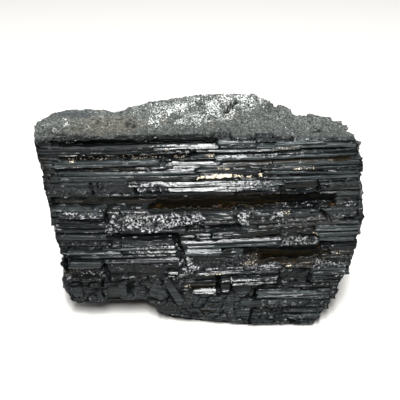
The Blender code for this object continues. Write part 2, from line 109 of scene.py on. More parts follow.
# (left x, right x, level at the left, at the right, width, proud, share that leans back)
facePlanks = [
    (-48.8, 6.1, 71.3, 71.3, 2.6, -1.7, 0),  # dark band under the crust
    (-53.2, -15, 69.1, 69.05, 1.8, 0.5, 0.35),
    (-15.3, 6.1, 69.05, 69, 1.8, 0.5, 0.9),  # bright blade
    (-53.3, -3, 67.1, 67.2, 1.9, 0, 0.3),
    (6.4, 18.8, 69.7, 69.4, 3, 0.3, 0.4),  # plate
    (25.3, 42.1, 69.3, 69.1, 2, 0.1, 0.35),
    (18.4, 25.3, 71.2, 71, 2.4, 1, 0.15),  # small block
    (18.8, 33.3, 68.8, 67.2, 1.6, 0, 0.3),
    (42.1, 50.4, 68.7, 68.2, 1.4, -0.9, 0),  # shaded slot
    (33.3, 52.1, 67.4, 66.6, 1.2, 0.3, 0.4),
    (-1, 33.3, 67.4, 66.6, 1, 0.5, 0.8),  # pale blade
    (-11.3, 5.6, 65, 65.2, 1.7, 0.2, 0.4),
    (5.3, 51.9, 64.3, 64.5, 2.3, 0.5, 0.55),  # long light plank
    (-48.2, -13, 63.2, 63.8, 2.3, 0.7, 0.45),  # round-ended plank
    (-13, 26.9, 63, 61.2, 2, 0.3, 0.5),
    (24.3, 53.8, 62, 61.2, 2, 0.3, 0.4),
    (-26.3, 0.3, 61, 62, 1.3, 0.4, 0.6),
    (-47.1, -1.3, 60.1, 60.3, 2, 0.5, 0.55),
    (-49.9, 0.3, 57.9, 58.2, 2.1, 0.3, 0.35),
    (21, 54.2, 60.4, 59, 1.8, 0.1, 0.35),
    (21, 54, 58.8, 57.2, 1.4, 0.2, 0.3),
    (13.7, 54.1, 56.9, 55.6, 1.3, 0.2, 0.4),
    (-23.8, 28.2, 56.3, 54.9, 1.7, 0.9, 0.95),  # widest bright facet, in two bands
    (-20.7, 28, 54.4, 53, 1.7, 1.05, 0.9),
    (28.2, 40.3, 53.5, 53, 3.5, -0.6, 0.1),  # step down
    (40.6, 54.2, 52.6, 52.3, 2.6, 0.5, 0.3),
    (40.7, 54.2, 50, 49.6, 2.4, 0.3, 0.3),
    (-13.1, 29, 52.2, 50.8, 2.2, -1, 0.2),  # broken shelf
    (-46.9, -13.2, 50.9, 50.2, 1.4, -0.9, 0.3),
    (-47, -13.2, 49.1, 48.5, 1.7, -1.5, 0.2),
    (-13.2, 53.7, 49.8, 47.2, 2.1, -1.3, 0.35),  # brown hollow
    (-13.2, 44.3, 47.3, 45.4, 2.6, -1.7, 0.3),  # brown hollow
    (44.3, 54.1, 46.2, 45.8, 2.4, 0, 0.3),
    (-50.5, -32, 47, 46.8, 1.2, 0.4, 0.4),
    (-47.9, -32.1, 45, 44.8, 2.4, 0.7, 0.4),  # pale grained plank
    (-26.8, -9.5, 45.5, 45.4, 1.5, 0.3, 0.5),
    (1.4, 12.6, 42.9, 42.6, 2.4, 0.1, 0.12),
    (1.4, 12.6, 40.6, 40.3, 2, 0.3, 0.25),
    (17.4, 38.1, 42.5, 42.6, 2.1, 0.1, 0.15),
    (17.4, 49.7, 40.4, 40.7, 1.9, 0.1, 0.22),
    (-50.8, -31.4, 42.5, 42.3, 1.5, 0, 0.3),
    (-50.6, -31.4, 40.7, 40.5, 1.7, 0.1, 0.3),
    (-50.3, -29.8, 38.9, 38.7, 1.6, 0.1, 0.3),
    (-50.5, -29.9, 36.7, 36.4, 2.4, 0.3, 0.3),
    (-27.4, -4.1, 38.2, 38.1, 1.9, 0.4, 0.3),  # dark smooth plank
    (-30, -7.9, 33.9, 34.4, 2.8, 0.9, 0.14),  # smooth facet
    (-33.8, -7.2, 31.9, 32, 1.4, 0.6, 0.5),
    (-26.6, -6.9, 30.4, 30.4, 1.3, 0.7, 0.6),
    (-46, -26.6, 30.2, 30.1, 3, 0.3, 0.3),
    (-26.7, -6.2, 29, 28.9, 1.3, 0.4, 0.4),
    (-45, -33.5, 26.2, 26.2, 3, 1, 0.25),  # smooth facet
    (-33, -6.2, 27.4, 27.1, 2, 0.5, 0.4),
    (-17, -5.9, 25.2, 25, 1.7, 0.4, 0.5),
    (-48.1, -33.5, 20.3, 20.4, 1.3, 1.8, 0.5),  # thin rod
    (-33.4, -20.6, 20.7, 21, 1.1, 1, 0.5),
    (-6.2, 28.5, 33.5, 34, 1.6, 0.9, 0.46),  # pale blade
    (-3.8, 27.9, 31.9, 32.1, 1.5, 0.5, 0.4),
    (-5.2, 7.9, 30, 29.7, 2.2, 0.7, 0.6),  # bright blade
    (8, 28.6, 29.3, 30.4, 1.1, 0.2, 0.4),
    (-1, 27.7, 36, 36.6, 2.5, 0.4, 0.2),
    (20.2, 39.3, 38.4, 38.8, 1.8, 0.6, 0.35),  # block
    (39.4, 55.6, 39.1, 38.8, 1.8, 0.6, 0.3),
    (39.5, 55.7, 37.1, 36.7, 2.2, 0.5, 0.3),
    (40.3, 55.9, 35, 34.4, 1.9, 0.6, 0.3),
    (40.9, 55.6, 33.2, 32.5, 1.7, 0.5, 0.3),
    (42.1, 55.2, 29.5, 29.3, 2.2, 0.3, 0.5),
    (42.2, 55, 27.6, 27.3, 1.7, 0.1, 0.4),
    (35, 54.7, 26.3, 25.7, 1.5, -0.1, 0.3),
    (15.9, 45.2, 29.5, 28.5, 2.1, -0.9, 0.3),
    (17.7, 41.2, 26.7, 26.1, 2.7, -1.7, 0.2),  # dark hollow
    (2.4, 29.2, 22.7, 23, 1.3, 0.3, 0.5),
    (-1, 28.2, 21.5, 21.5, 1.5, 0.5, 0.6),
    (-7.4, 6.7, 18.6, 18.2, 1.5, 0.2, 0.3),
    (-7.4, 6, 16.7, 16.4, 2, -0.4, 0.2),
    (-2.5, 6.3, 14.4, 14.3, 1.7, 0.7, 0.9),  # bright chip
    (-11.3, -7.4, 22.3, 22.2, 0.8, 1, 1),  # bright chips by the slanting splinter
    (-10.8, -8.2, 21.2, 21.1, 0.9, 0.8, 1),
    (7.7, 29.7, 18.4, 18.7, 2, 2.2, 1),  # bright rod
    (7.7, 11.2, 15.5, 15.5, 3.6, 1.9, 0.1),  # rod's broken end
    (20.2, 46.4, 14.1, 13.1, 0.8, 1, 0.5),
    (20.3, 45.8, 12.2, 11.2, 2.9, 0.8, 0.2),  # smooth plank
    (18.8, 45.6, 8.8, 7.9, 3, 0.6, 0.4),
    (29.9, 43.7, 5.4, 5.1, 2, 0.5, 0.3),
    (24.7, 44.1, 3, 2, 2.5, 0.4, 0.3),
    (18.3, 42.1, 0.8, -0.6, 2.2, 0.5, 0.3),
    (35.2, 51.2, 21.8, 21.1, 1.6, 0.3, 0.4),
    (37.3, 51.6, 20, 19.4, 1.5, 0.2, 0.4),
    (37.4, 51.4, 18.3, 17.6, 1.7, 0.5, 0.35),
    (36.8, 49, 16.6, 16.1, 1.4, 0.3, 0.3),
    (29.8, 48.4, 15.3, 14.4, 1.6, 0.1, 0.3),
]

# Ground that is broken and sparkles: (left x, right x, low level, high level, strength)
roughGround = [
    (-30.4, 1.4, 38.8, 44.8, 1), (-32.9, -26.4, 36.8, 41.3, 0.8), (-36, -30.6, 43.3, 46.3, 0.9),
    (12.6, 17.4, 38.5, 44.9, 0.95), (23.5, 29.3, 40.2, 44.3, 0.8), (17.4, 38.5, 39.4, 43.1, 0.35),
    (27.7, 39.7, 35.7, 37.6, 0.7), (28.2, 41.6, 29.9, 34.5, 0.8), (39.9, 51.8, 22.1, 25.2, 0.85),
    (7.3, 20.1, 23.1, 27.8, 0.7), (-5.9, -1, 21.4, 28.5, 0.9), (-1, 7.3, 23.2, 28.6, 0.5),
    (-46.4, -32.8, 21, 24.9, 0.75), (-32.8, -10.8, 21.1, 26.3, 0.55),
    (-50.8, -24.9, 51.9, 56.6, 0.5), (-24.9, -11.4, 51.2, 55.2, 0.4), (-48.6, -30, 32.2, 35.2, 0.5),
    (-48.7, -20.2, 9.6, 19.2, 0.35), (-21.1, -6, 2.4, 20.2, 0.45), (-6.8, 20.3, 0.8, 13.2, 0.35),
    (-11.5, -6.6, 17.7, 19.8, 0.9), (-17.5, -9.6, 7.4, 13.2, 0.6), (44.5, 54.7, 40.4, 44.9, 0.6),
    (11.6, 20.1, 6.8, 17, 0.4), (-53.8, -48.3, 71, 76.2, 0.9), (-47.3, -33, 44.2, 45.8, 0.86),
    (29.7, 37.4, 14.3, 22.2, 0.35), (41.2, 48.6, 9.2, 15.6, 0.3), (-14.6, -9.6, 62.6, 65.1, 0.6),
    (-51.4, -47.3, 35.6, 52.4, 0.3), (27.5, 33, 71.5, 77.7, 0.5), (-25.8, -17.1, 22.3, 25.1, 0.25),
]
# Ground broken into blocks with seams between them, in the same columns
blockyGround = [
    (-50, -6, 8, 20.4, 1), (-6.7, 20, -1, 12.6, 0.8), (20, 47, -3, 9.6, 0.55),
    (29, 38, 13.5, 23, 0.5), (11.5, 20, 9.5, 17, 0.5), (-51.5, -46, 26, 60, 0.35),
    (-49, -27, 51.5, 56.5, 0.35), (-22, -12, 51, 55.4, 0.4), (39, 46, 51, 56, 0.3),
]
# Brown iron stain, in the same columns
ironStains = [
    (7.6, 50.1, 61.5, 63.1, 0.9), (-49, -15.7, 61.1, 62.7, 0.8), (-36.8, -33.5, 64.5, 65.7, 0.9),
    (-46.1, -11.3, 64.8, 66.5, 0.45), (-16.6, 29.1, 45.2, 50.8, 0.75),
    (-47, -16.6, 48.1, 50.3, 0.5), (-15.9, -12.9, 45.7, 47.5, 1.3), (5.8, 12.5, 45.1, 47.3, 1.1),
    (44, 48.1, 44.8, 46, 1.3), (38.3, 41.8, 28.2, 29.4, 1.3), (17.4, 49.8, 38.3, 41.7, 0.5),
    (19.4, 43.7, 23.8, 28.1, 0.8), (28.2, 40.7, 22.3, 24.3, 1), (19.2, 40.7, 34.7, 38.5, 0.45),
    (25.4, 37.3, 66.5, 67.9, 0.7), (-39.7, -36.7, 45.2, 47.1, 1), (-24.1, -18.5, 21.4, 22.7, 0.9),
    (13.8, 51, 47, 48.8, 0.5), (39.2, 49.8, 38.3, 39.2, 0.6), (-4.6, 6.3, 15.3, 17.3, 0.7),
    (0.4, 4.3, 4.9, 6.1, 1), (-10.3, -4.6, 6.4, 9.8, 0.5), (-17.8, -14.6, 22.2, 24.2, 0.7),
    (17, 21.1, 25.2, 28.4, 0.7), (-33.4, -28.1, 11.3, 15.6, 0.4), (42.2, 54.6, 25.2, 30.2, 0.35),
    (0.3, 18.8, 67.2, 68.6, 0.35), (28.2, 40.6, 51.6, 54.9, 0.3), (-48.6, -34.6, 21.2, 23.8, 0.4),
    (1.4, 12.6, 39.2, 41.4, 0.4), (-21.7, -19.3, 44.9, 46.8, 0.9), (17.4, 21.4, 39, 45, 0.3),
    (40.7, 54.1, 48.3, 53.4, 0.25), (-54.3, -49, 57.1, 66.8, 0.45),
]
# Cream crumbs, in the same columns
creamCrumbs = [
    (-0.7, 11, 57.2, 58.3, 0.85), (12, 14.9, 57.2, 57.9, 0.75), (15.9, 18.2, 57.1, 57.8, 0.6),
    (19.9, 21, 57.1, 58.7, 0.9), (6, 12.7, 60.3, 61.3, 0.55), (30.8, 38.3, 59.5, 60, 0.55),
    (1.3, 5, 65.2, 65.8, 0.5), (-43.8, -40.9, 64.3, 64.5, 0.55), (-46.1, -22.9, 64.7, 66.1, 0.22),
    (-23.5, -12.9, 65, 66.4, 0.34), (16.8, 20, 23.7, 27.2, 0.22), (14.3, 19.8, 23.9, 24.7, 0.45),
    (2.1, 8.4, 20.4, 21.6, 0.6), (-8.6, -4, 65.1, 66, 0.34), (28.2, 31.2, 42.7, 44.3, 0.4),
    (30.3, 32.7, 22.4, 22.9, 0.4), (41.8, 48.8, 27.2, 27.7, 0.3), (-39, -37, 45.4, 46.9, 0.3),
    (-11.6, -9.6, 67.5, 68.1, 0.5), (25.4, 33.3, 66.8, 67.8, 0.25), (9.5, 17.4, 71, 71.6, 0.3),
    (-5.3, -3.2, 15.5, 16.7, 0.4), (39.1, 40.8, 34.6, 35.5, 0.5), (18.5, 25.1, 65.9, 67.3, 0.2),
]
# Pale matt film over the black, in the same columns
paleFilm = [
    (-49.7, -11.3, 57.6, 64.8, 0.75), (-50.7, -24.8, 53.3, 57.7, 0.6), (-24.8, 28.2, 52.8, 56, 0.3),
    (-13, 13.7, 57.5, 62.2, 0.35), (-53.2, 5.9, 67.1, 69.6, 0.35), (6.3, 51.7, 66.3, 70.5, 0.85),
    (-1, 51.9, 63.6, 67.2, 0.9), (23.7, 54, 54.3, 63.3, 0.65), (0.3, 26.9, 59.2, 63.5, 0.6),
    (40.7, 54.5, 47.2, 54.1, 0.5), (28.2, 40.6, 50.2, 54.9, 0.2), (-46.9, -13.2, 50.5, 51.8, 0.35),
    (-50.6, -32.3, 43.4, 47.9, 0.85), (-26.8, -9.2, 44.5, 46.3, 0.5), (1.4, 12.6, 39.2, 44.1, 0.5),
    (17.4, 49.7, 38.3, 43.9, 0.45), (39.4, 55.8, 31.8, 40.1, 0.5), (-1, 20.2, 34.1, 38.7, 0.35),
    (44.5, 55, 40, 45.2, 0.6), (29, 52.7, 15.4, 23.3, 0.5), (20.1, 46.5, 9.9, 13.9, 0.75),
    (18.9, 46, -1.2, 9.9, 0.5), (-6.8, 20.3, 0.3, 13.1, 0.55), (-48.9, -6, 8.5, 17.2, 0.45),
    (-46.1, -26.7, 24.6, 31.9, 0.5), (-26.6, -6.2, 26.5, 35, 0.35), (-6.2, 28.6, 30.2, 34.8, 0.5),
    (-5.2, 8, 28.7, 31, 0.6), (-1, 29.3, 20, 24.7, 0.4), (-47, -29.8, 35, 40, 0.35),
    (35, 55.8, 23.8, 27.7, 0.3), (-30, -7.9, 32.4, 35.1, 0.3), (-1, 5.6, 63.9, 65.7, 0.5),
    (25.3, 42.1, 67.4, 70.6, 0.5),
]
# Hollows in shade: (left x, right x, low level, high level, depth)
shadedHollows = [
    (-17, 46, 45.4, 49.8, 3), (-50, -14, 47.4, 50.8, 2.2), (16, 42, 24.6, 30.2, 2.6),
    (-4.5, 14.5, 38, 39.8, 2.2), (27.5, 40, 50.6, 54, 1.8), (28, 39, 15.5, 21.5, 1.8),
]
# Smooth broken pieces: (corners as (x, level), proud, lean along x, lean upwards)
shards = [
    (((-12.6, 18.6), (-10.2, 19.6), (-5.2, 11.2), (-6.4, 8.6), (-8, 9.6)), 0.9, -0.05, -0.15),
    (((7.6, 15.2), (7.9, 18.6), (10.9, 18.4), (10.8, 15)), 0.9, 0.05, -0.1),
    (((11.6, 14.6), (11.8, 17), (18.6, 16.6), (18.4, 13), (14, 12.6)), -0.2, 0.05, -0.2),
    (((14.6, 8.6), (15.4, 10.9), (21.6, 10.2), (22, 8.2), (18, 7.2)), 0.5, 0.05, -0.25),
    (((13, 3.6), (13.4, 6.4), (17.8, 6.2), (18.2, 3.6)), 0.5, 0, -0.2),
    (((-46, 12), (-45.4, 15.6), (-41.4, 15.4), (-40.8, 11.6)), 0.6, 0, -0.15),
    (((-32.6, 11), (-32.4, 15.8), (-25.6, 16.2), (-25.2, 12)), 0.4, 0.02, -0.1),
    (((-18, 12.4), (-16.4, 17.4), (-12.6, 16.6), (-10.6, 12.6), (-13.4, 10.6)), 0.5, 0.05, -0.2),
]
# Cracks and shaded gaps: (points as (x, level), width, depth)
faceCracks = [
    (((-46.1, 65.2), (-36.2, 65.3), (-22.9, 65.6), (-11.3, 65.9)), 0.9, 1.2),
    (((-11.3, 65.8), (0.3, 66.2), (18.5, 65.9), (33.4, 65.8)), 0.9, 1),
    (((7.6, 62.9), (26.9, 63.2), (50, 63.1)), 0.8, 0.8),
    (((-49, 61.4), (-36.3, 61.8), (-25.6, 62.3), (-16.3, 61.5)), 0.7, 0.9),
    (((-48.1, 48), (-30.1, 47.8)), 0.6, 1.2),
    (((-31.3, 36.4), (-20.3, 36.9), (-7.9, 37.2)), 1.3, 2),
    (((-8.1, 36.7), (-7.2, 32.8), (-5.5, 28.5), (-5, 23.8)), 2, 2.2),
    (((-45.4, 28.2), (-22.2, 28.2)), 0.5, 0.9), (((-46.8, 28.6), (-46.1, 22.9)), 1.3, 1.6),
    (((-33.2, 26.8), (-32.9, 23.7), (-33.7, 19.3), (-34.4, 14.4), (-33.9, 10.4)), 0.7, 1.6),
    (((-33.1, 24.5), (-31.8, 21.5)), 1.8, 2.2),
    (((-41.9, 18.7), (-41.5, 15.2), (-42.9, 10.6)), 0.6, 1),
    (((-45.7, 15.6), (-43.7, 14.1), (-42.4, 13.2)), 0.6, 0.8),
    (((39.9, 54.4), (40.6, 52.6), (43.3, 52.9)), 0.6, 1),
    (((40.5, 52.6), (40, 51.3), (39.2, 50.3)), 0.9, 1.4), (((28.3, 51.3), (40, 50.6)), 0.5, 0.8),
    (((30.4, 57.7), (40.1, 57)), 0.5, 0.8), (((39.3, 44.7), (41.4, 43.5), (43.9, 41.1)), 1.1, 1.3),
    (((34.7, 34.3), (40.5, 33.6)), 1.4, 2), (((34.6, 28), (41.2, 27.6)), 0.9, 1.6),
    (((42.2, 31.2), (45.8, 30.8)), 1.1, 1.5), (((4.3, 37.2), (4.1, 34.8)), 0.5, 0.9),
    (((16.4, 73), (29.8, 72)), 0.6, 1.3), (((25.3, 71.1), (31.9, 70.7)), 0.9, 1.4),
    (((2, 73.8), (9.5, 73.7), (11.2, 72)), 0.6, 1.2), (((11.2, 71.8), (18.7, 71)), 0.6, 1),
    (((6.1, 19.7), (29.7, 20.1)), 0.9, 1.3), (((6.8, 19.5), (6.9, 12.3)), 1.4, 2.2),
    (((11.3, 19.5), (11.4, 13.7)), 0.6, 1.6), (((6, 13.3), (12.3, 13.2)), 0.9, 1.8),
    (((11.6, 16.3), (29.4, 17)), 0.9, 1), (((29.7, 20.8), (36.4, 17.3)), 2.5, 1.5),
    (((36.2, 13.7), (41.5, 13.5)), 0.9, 1.3), (((41.5, 13.8), (46, 13.8)), 0.6, 1),
    (((19.7, 14.2), (19.6, 10.5)), 0.7, 1.3), (((20.1, 10.7), (46.2, 9.6)), 0.5, 1),
    (((-12.6, 18.9), (-10.2, 15.2), (-7.8, 10.3)), 0.9, 1.4),
    (((-9.5, 12.6), (-7.8, 9.8)), 2.2, 2.4), (((-24.3, 17.1), (-24.5, 14.2)), 2.7, 1.8),
    (((-21.2, 17.1), (-17.3, 14.1)), 0.8, 0.9), (((1.1, 5.6), (3.9, 5.4)), 0.8, 1),
    (((19.2, 5.9), (18.3, 1.9)), 0.8, 1), (((12.5, 6.1), (17.1, 5.8)), 0.6, 0.9),
    (((14.5, 9.1), (20.2, 8.6)), 0.6, 1), (((-21.7, 54.5), (-21, 52.7)), 1.2, 1.3),
    (((-13.9, 54.2), (-13.5, 51.8)), 0.9, 1.3), (((-36.6, 55.9), (-35.7, 52.6)), 0.9, 0.9),
    (((-34.2, 56.2), (-34, 53.3)), 0.5, 0.7), (((-11.1, 54.3), (-11.1, 52.8)), 0.6, 0.8),
    (((12.3, 52.7), (12.5, 50.5)), 0.6, 0.9), (((-48.7, 32.5), (-30, 32.5)), 0.5, 0.7),
    (((-50.7, 43.5), (-32, 43.4)), 0.4, 0.6), (((-27.1, 35.6), (-26.6, 32.5)), 0.3, 0.5),
    (((-31.1, 39.5), (-26.4, 39)), 0.9, 1), (((-32.2, 48.1), (-31.4, 42.1)), 1.1, 1),
    (((28.1, 6.3), (34.4, 6.4)), 0.6, 0.9), (((25.4, 4.3), (36.1, 3.2)), 0.6, 0.9),
    (((32.8, -0.1), (35.7, -0.6)), 0.9, 1), (((-43.7, 18.4), (-39.1, 18.3)), 0.6, 0.8),
    (((-48.4, 72), (-48.4, 71.3)), 1.4, 1.6), (((-45, 72.7), (-41.7, 72.9)), 0.7, 1.2),
    (((-52.2, 73.1), (-48.9, 74.5)), 0.6, 1.1), (((31.8, 71.7), (35.1, 70.9)), 1.1, 0.9),
]

# Sugary spots of the crust, pale and partly a painted sparkle: (x, y, half width, half depth,
# strength)
brightSpots = [
    (-12.7, 4.9, 5.7, 9.5, 0.75), (-7.5, 6.2, 3.5, 5.3, 1.3), (-9.5, 3.3, 2.1, 3.2, 1.2),
    (-5.8, -6.7, 3.2, 3.2, 1.2), (-16.6, -4, 1.1, 5.3, 1.1), (-13.5, -3.4, 2.8, 5.3, 0.7),
    (-1.1, 11.6, 4.3, 8.5, 0.55), (-0.7, -3.3, 4.3, 6.4, 0.8), (4.6, 3.5, 3.5, 8.5, 1),
    (9.4, 12.7, 3.2, 7.4, 0.9), (8.4, 17.9, 5, 4.2, 0.5), (10.8, 0.3, 2.8, 6.4, 0.8),
    (7.9, -4.4, 3.5, 3.2, 0.7), (17.3, 12.4, 5, 7.4, 1), (22.8, 13.4, 2.5, 6.4, 0.8),
    (18.8, 19.9, 4.3, 3.2, 0.7), (16.2, 3.8, 3.5, 3.2, 0.6), (13.2, 6.8, 2.1, 4.2, 0.6),
    (1.8, 18, 2.1, 3.2, 0.9), (-3.3, 17.2, 2.1, 3.2, 0.6), (-19.4, 11, 2.5, 3.2, 0.4),
    (-22.8, 7.1, 2.1, 5.3, 0.45), (-21, 0.6, 1.8, 4.2, 0.3), (-17.7, 13, 2.1, 2.1, 0.4),
    (-7.4, -12.8, 3.5, 3.2, 0.25), (-13.9, -10.8, 2.1, 3.2, 0.45), (-46, -4.5, 1.1, 2.3, 1.2),
    (-47, -1.2, 1.1, 1.6, 0.7), (-38.4, -7.3, 1.2, 1.9, 1.5), (-39.8, -4, 1.1, 2.1, 0.6),
    (-49.5, -9.4, 0.9, 1.7, 1.3), (-29.5, 1.4, 0.5, 1.4, 1.2), (-37.2, 5.2, 1.1, 1.6, 0.6),
    (-51.8, -14.6, 2.1, 5.3, 0.5), (-35, 4, 1.4, 2.1, 0.4), (-31.2, -3.7, 0.7, 1.3, 0.6),
    (-33, -6.7, 1.1, 1.6, 0.4), (30, -9.1, 0.5, 1.3, 1.6), (31.7, -13.4, 1.8, 3.2, 0.5),
    (35.4, -13.5, 1.4, 3.2, 0.5), (36.8, -6.1, 1.4, 3.2, 0.3), (28.9, 3.6, 0.7, 2.1, 0.4),
    (27.5, -1.6, 1.8, 3.2, 0.3), (42.4, -14.6, 0.7, 1.1, 0.4), (39.6, -9.3, 1.4, 1.6, 0.25),
]
# Pits of the crust, in the same columns
darkSpots = [
    (-35.4, -2.3, 0.6, 3.2, 1), (-31.9, -2.6, 0.4, 2.7, 0.8), (-24.6, -3.3, 1.1, 2.7, 0.9),
    (-22.4, -5.6, 0.9, 3.2, 1), (-40, -8.2, 1.4, 1.6, 0.5), (-34.6, -11.8, 2.5, 1.1, 0.6),
    (-43.1, -7.9, 1.1, 1.6, 0.4), (-52, -8.2, 1.8, 2.1, 0.7), (-53.6, -11.4, 1.4, 1.6, 0.9),
    (-50.9, -11.4, 0.7, 1.6, 0.8), (3.9, 9.8, 1.1, 1.6, 0.7), (0, 8.3, 1.1, 5.3, 0.5),
    (-8, -1.1, 2.8, 1.3, 0.6), (-12.4, 4.8, 1.1, 1.3, 0.5), (5.9, -0.5, 0.4, 2.1, 0.8),
    (13.1, 3.6, 0.5, 2.1, 0.6), (25.4, 9.1, 2.1, 4.2, 0.45), (40.1, -10.3, 1.4, 1.1, 0.8),
    (45.6, -10.3, 1.1, 2.1, 0.3), (21.8, -3.6, 2.8, 2.1, 0.2), (-15.8, -14.7, 1.4, 1.1, 0.5),
    (15.9, -3.6, 3.5, 1.1, 0.2), (34.1, -19.9, 1.1, 1.6, 0.9), (-49.6, -12.6, 1.8, 2.4, 0.9),
    (-46.3, -15.8, 2.6, 2, 1), (-53, -13.4, 1.2, 3, 0.8), (-40.8, -17.2, 3, 1.8, 1),
    (-28.6, 2.6, 1, 1.4, 0.6), (-44.2, -12.6, 2.2, 0.8, 0.6), (-29.2, -13.8, 3.6, 0.7, 0.5),
    (-37.8, -15.2, 2.4, 0.8, 0.5),
]
# Warm tinted spots
warmSpots = [
    (-32.3, -8.1, 14.1, 11.6, 0.8), (-21.3, -6.7, 4.3, 5.3, 0.8), (-24.5, -10.7, 3.2, 2.1, 1.3),
    (27.2, -5.3, 0.9, 0.8, 1.6), (-11.7, -4.8, 1.1, 4.2, 0.9), (-34.8, 1.9, 5, 5.3, 0.5),
    (10.8, -1.9, 3.5, 5.3, 0.4), (4.4, -11.3, 3.5, 3.2, 0.4), (8.3, 13.6, 2.8, 4.2, 0.5),
    (-28.7, 4.5, 2.8, 3.2, 0.4),
]
# Smooth slate coloured spots
slateSpots = [
    (-45.5, 6.5, 8.2, 3.4, 1), (-49.7, 8.4, 5, 3.2, 0.8), (-38.1, 7.4, 2.1, 2.1, 0.4),
    (28.9, -14.4, 6.4, 3.2, 0.3), (8.2, -19.2, 3, 2.4, 0.9), (-21.4, 14.4, 1.8, 1.6, 0.6),
]
# Cracks of the crust, cut in and darkened with painted shade: (points as (x, y), width, depth)
crustCracks = [
    (((9.4, 0.2), (11.8, 6.9), (13.4, 10.2), (14.8, 11.4)), 1.3, 1.6),
    (((5, -18.6), (6.3, -22.1)), 0.7, 0.8), (((25.4, -21), (30.1, -21.2), (32.4, -20.9)), 2.4, 1.2),
    (((3.2, 11.8), (0.4, 7.2), (-1.1, 9.5)), 0.84, 0.7), (((14.1, -6.9), (16.2, -6.3)), 0.7, 0.5),
    (((-49, -17.8), (-46.1, -19.7), (-42.2, -19)), 1.05, 1),
    (((-16.5, -22), (-14.2, -21.3)), 1.05, 1), (((39.6, -8.8), (41.4, -11.4)), 0.84, 0.8),
]
# Steps of the crust: (left x, right x, front y, back y, lift)
crustSteps = [
    (28.2, 32.9, 2, 20, 1), (24.6, 26.8, 6, 20, 0.7), (18.5, 24.4, 12, 20, 0.3),
    (38.5, 46.5, -4, 12, 0.8),
]
# Where the crust steps down to the narrow bench along the face
benchEdge = [
    (1.7, -17.6), (5.4, -16.4), (10.1, -15.9), (10.8, -19.5), (12, -21.2), (16.2, -21.4),
    (16.6, -17.8), (25.8, -16.6), (31, -16.8), (31.6, -19.4), (40, -19.8), (52, -20.4),
]
# Corners of the blunt right shoulder, of a block that stands proud of the upper edge, and of a
# wedge cut off the upper right corner
shoulder = [
    (40, -12, 69), (52.6, -13, 69), (52.3, -8, 69), (51.4, -4, 69.1), (50.3, 0, 69.7),
    (45.4, 2.5, 70.5), (40, 4, 70.8), (40, -12, 56), (54.2, -12, 57), (52.4, -4, 57), (47.5, 3, 57),
    (40, 5, 56),
]
ledgeBlock = list(itertools.product((18.4, 25.3), (-23.4, -18.5), (69.5, 73.3)))
cornerPlan = ((52.9, -12), (51.8, -3), (50.8, 0.5), (49.5, 30), (62, -12), (62, 30))
cornerCut = [(*corner, z) for corner in cornerPlan for z in (66.5, 90)]


def climb(x):
    return face["climb"] * (x - face["x"][0]) ** 2


def faceY(x, z):  # the face without its relief
    turn, under, low = (ramp(face[name], x) for name in ("turn", "under", "lowY"))
    drawn = smooth((turn - z) / (turn - under))
    y = face["plane"] + (low - face["plane"]) * drawn
    return y + np.minimum(ramp(face["tuck"], x), np.maximum(0.0, under - z) * face["tuckSlope"])


tableRows = 8192  # rows of random numbers that the cells of a pattern share, a power of two


def rowOf(cells):  # the row that each cell (n, 3) of a pattern takes
    return np.bitwise_xor.reduce(cells * (73856093, 19349663, 83492791), axis=1) & (tableRows - 1)


def spread(points, cell, seed):  # value noise, -1 to 1, on any points (n, 3)
    p = points / cell
    base = np.floor(p).astype(np.int64)
    f = smooth(p - base)
    table = np.random.default_rng(seed).uniform(-1, 1, tableRows)
    total = np.zeros(len(p))
    for corner in itertools.product((0, 1), repeat=3):
        weight = np.where(corner, f, 1 - f)
        total += weight[:, 0] * weight[:, 1] * weight[:, 2] * table[rowOf(base + corner)]
    return total


def layers(points, cell, seed, count=3):  # finer and fainter noise on top of noise
    return sum(spread(points, cell * 0.5**i, seed + i) * 0.5**i for i in range(count))


def grains(points, cell, seed):  # broken ground: flat facets, each tilted its own way
    p = points / cell
    base = np.floor(p).astype(np.int64)
    table = np.random.default_rng(seed).uniform(0, 1, (tableRows, 7))
    nearest, value = np.full(len(p), 9.0), np.zeros(len(p))
    for step in itertools.product((-1, 0, 1), repeat=3):
        facts = table[rowOf(base + step)]
        away = p - (base + step + facts[:, :3])
        distance = (away**2).sum(axis=1)
        closer = distance < nearest
        nearest[closer] = distance[closer]
        tilt = (facts[closer, 3:6] - 0.5) * 1.5
        value[closer] = facts[closer, 6] - 0.5 + (tilt * away[closer]).sum(axis=1)
    return value


def between(values, row, column, down, across):  # between four neighbours of a map
    near = values[row, column] * (1 - across) + values[row, column + 1] * across
    far = values[row + 1, column] * (1 - across) + values[row + 1, column + 1] * across
    return near * (1 - down) + far * down


def sampled(values, column, row):  # a map's value at any spot
    column = np.clip(column, 0, values.shape[1] - 1.001)
    row = np.clip(row, 0, values.shape[0] - 1.001)
    ix, iy = column.astype(int), row.astype(int)
    return between(values, iy, ix, row - iy, column - ix)


def distanceTo(x, y, points):  # how far each spot is from a line through the points
    nearest = np.full(np.broadcast(x, y).shape, 99.0)
    for (ax, ay), (bx, by) in zip(points, points[1:]):
        dx, dy = bx - ax, by - ay
        t = np.clip(((x - ax) * dx + (y - ay) * dy) / (dx * dx + dy * dy), 0, 1)
        nearest = np.minimum(nearest, np.hypot(x - ax - t * dx, y - ay - t * dy))
    return nearest


# Heights on broken ground, in millimetres
ground = {
    "calm": 0.75,             # share of the fine strips that it loses
    "grain": 0.95,
    "lump": 0.35,
    "crumb": 0.22,            # thickness of the cream crumbs
    "block": 1.5,             # how far whole blocks stand out
    "chunk": 0.4,             # and the pieces they are broken into
    "blockRough": 0.42,       # how rough the blocks look
}

# The relief map of the face: one row for each level, one column for each x.
mapX = np.arange(*face["x"], face["cell"])
mapLevel = np.arange(*face["level"], face["cell"])
reliefLayers = ("macro", "fine", "rough", "blocky", "stain", "cream", "film", "facet", "shade")
relief = {name: np.zeros((len(mapLevel), len(mapX))) for name in reliefLayers}


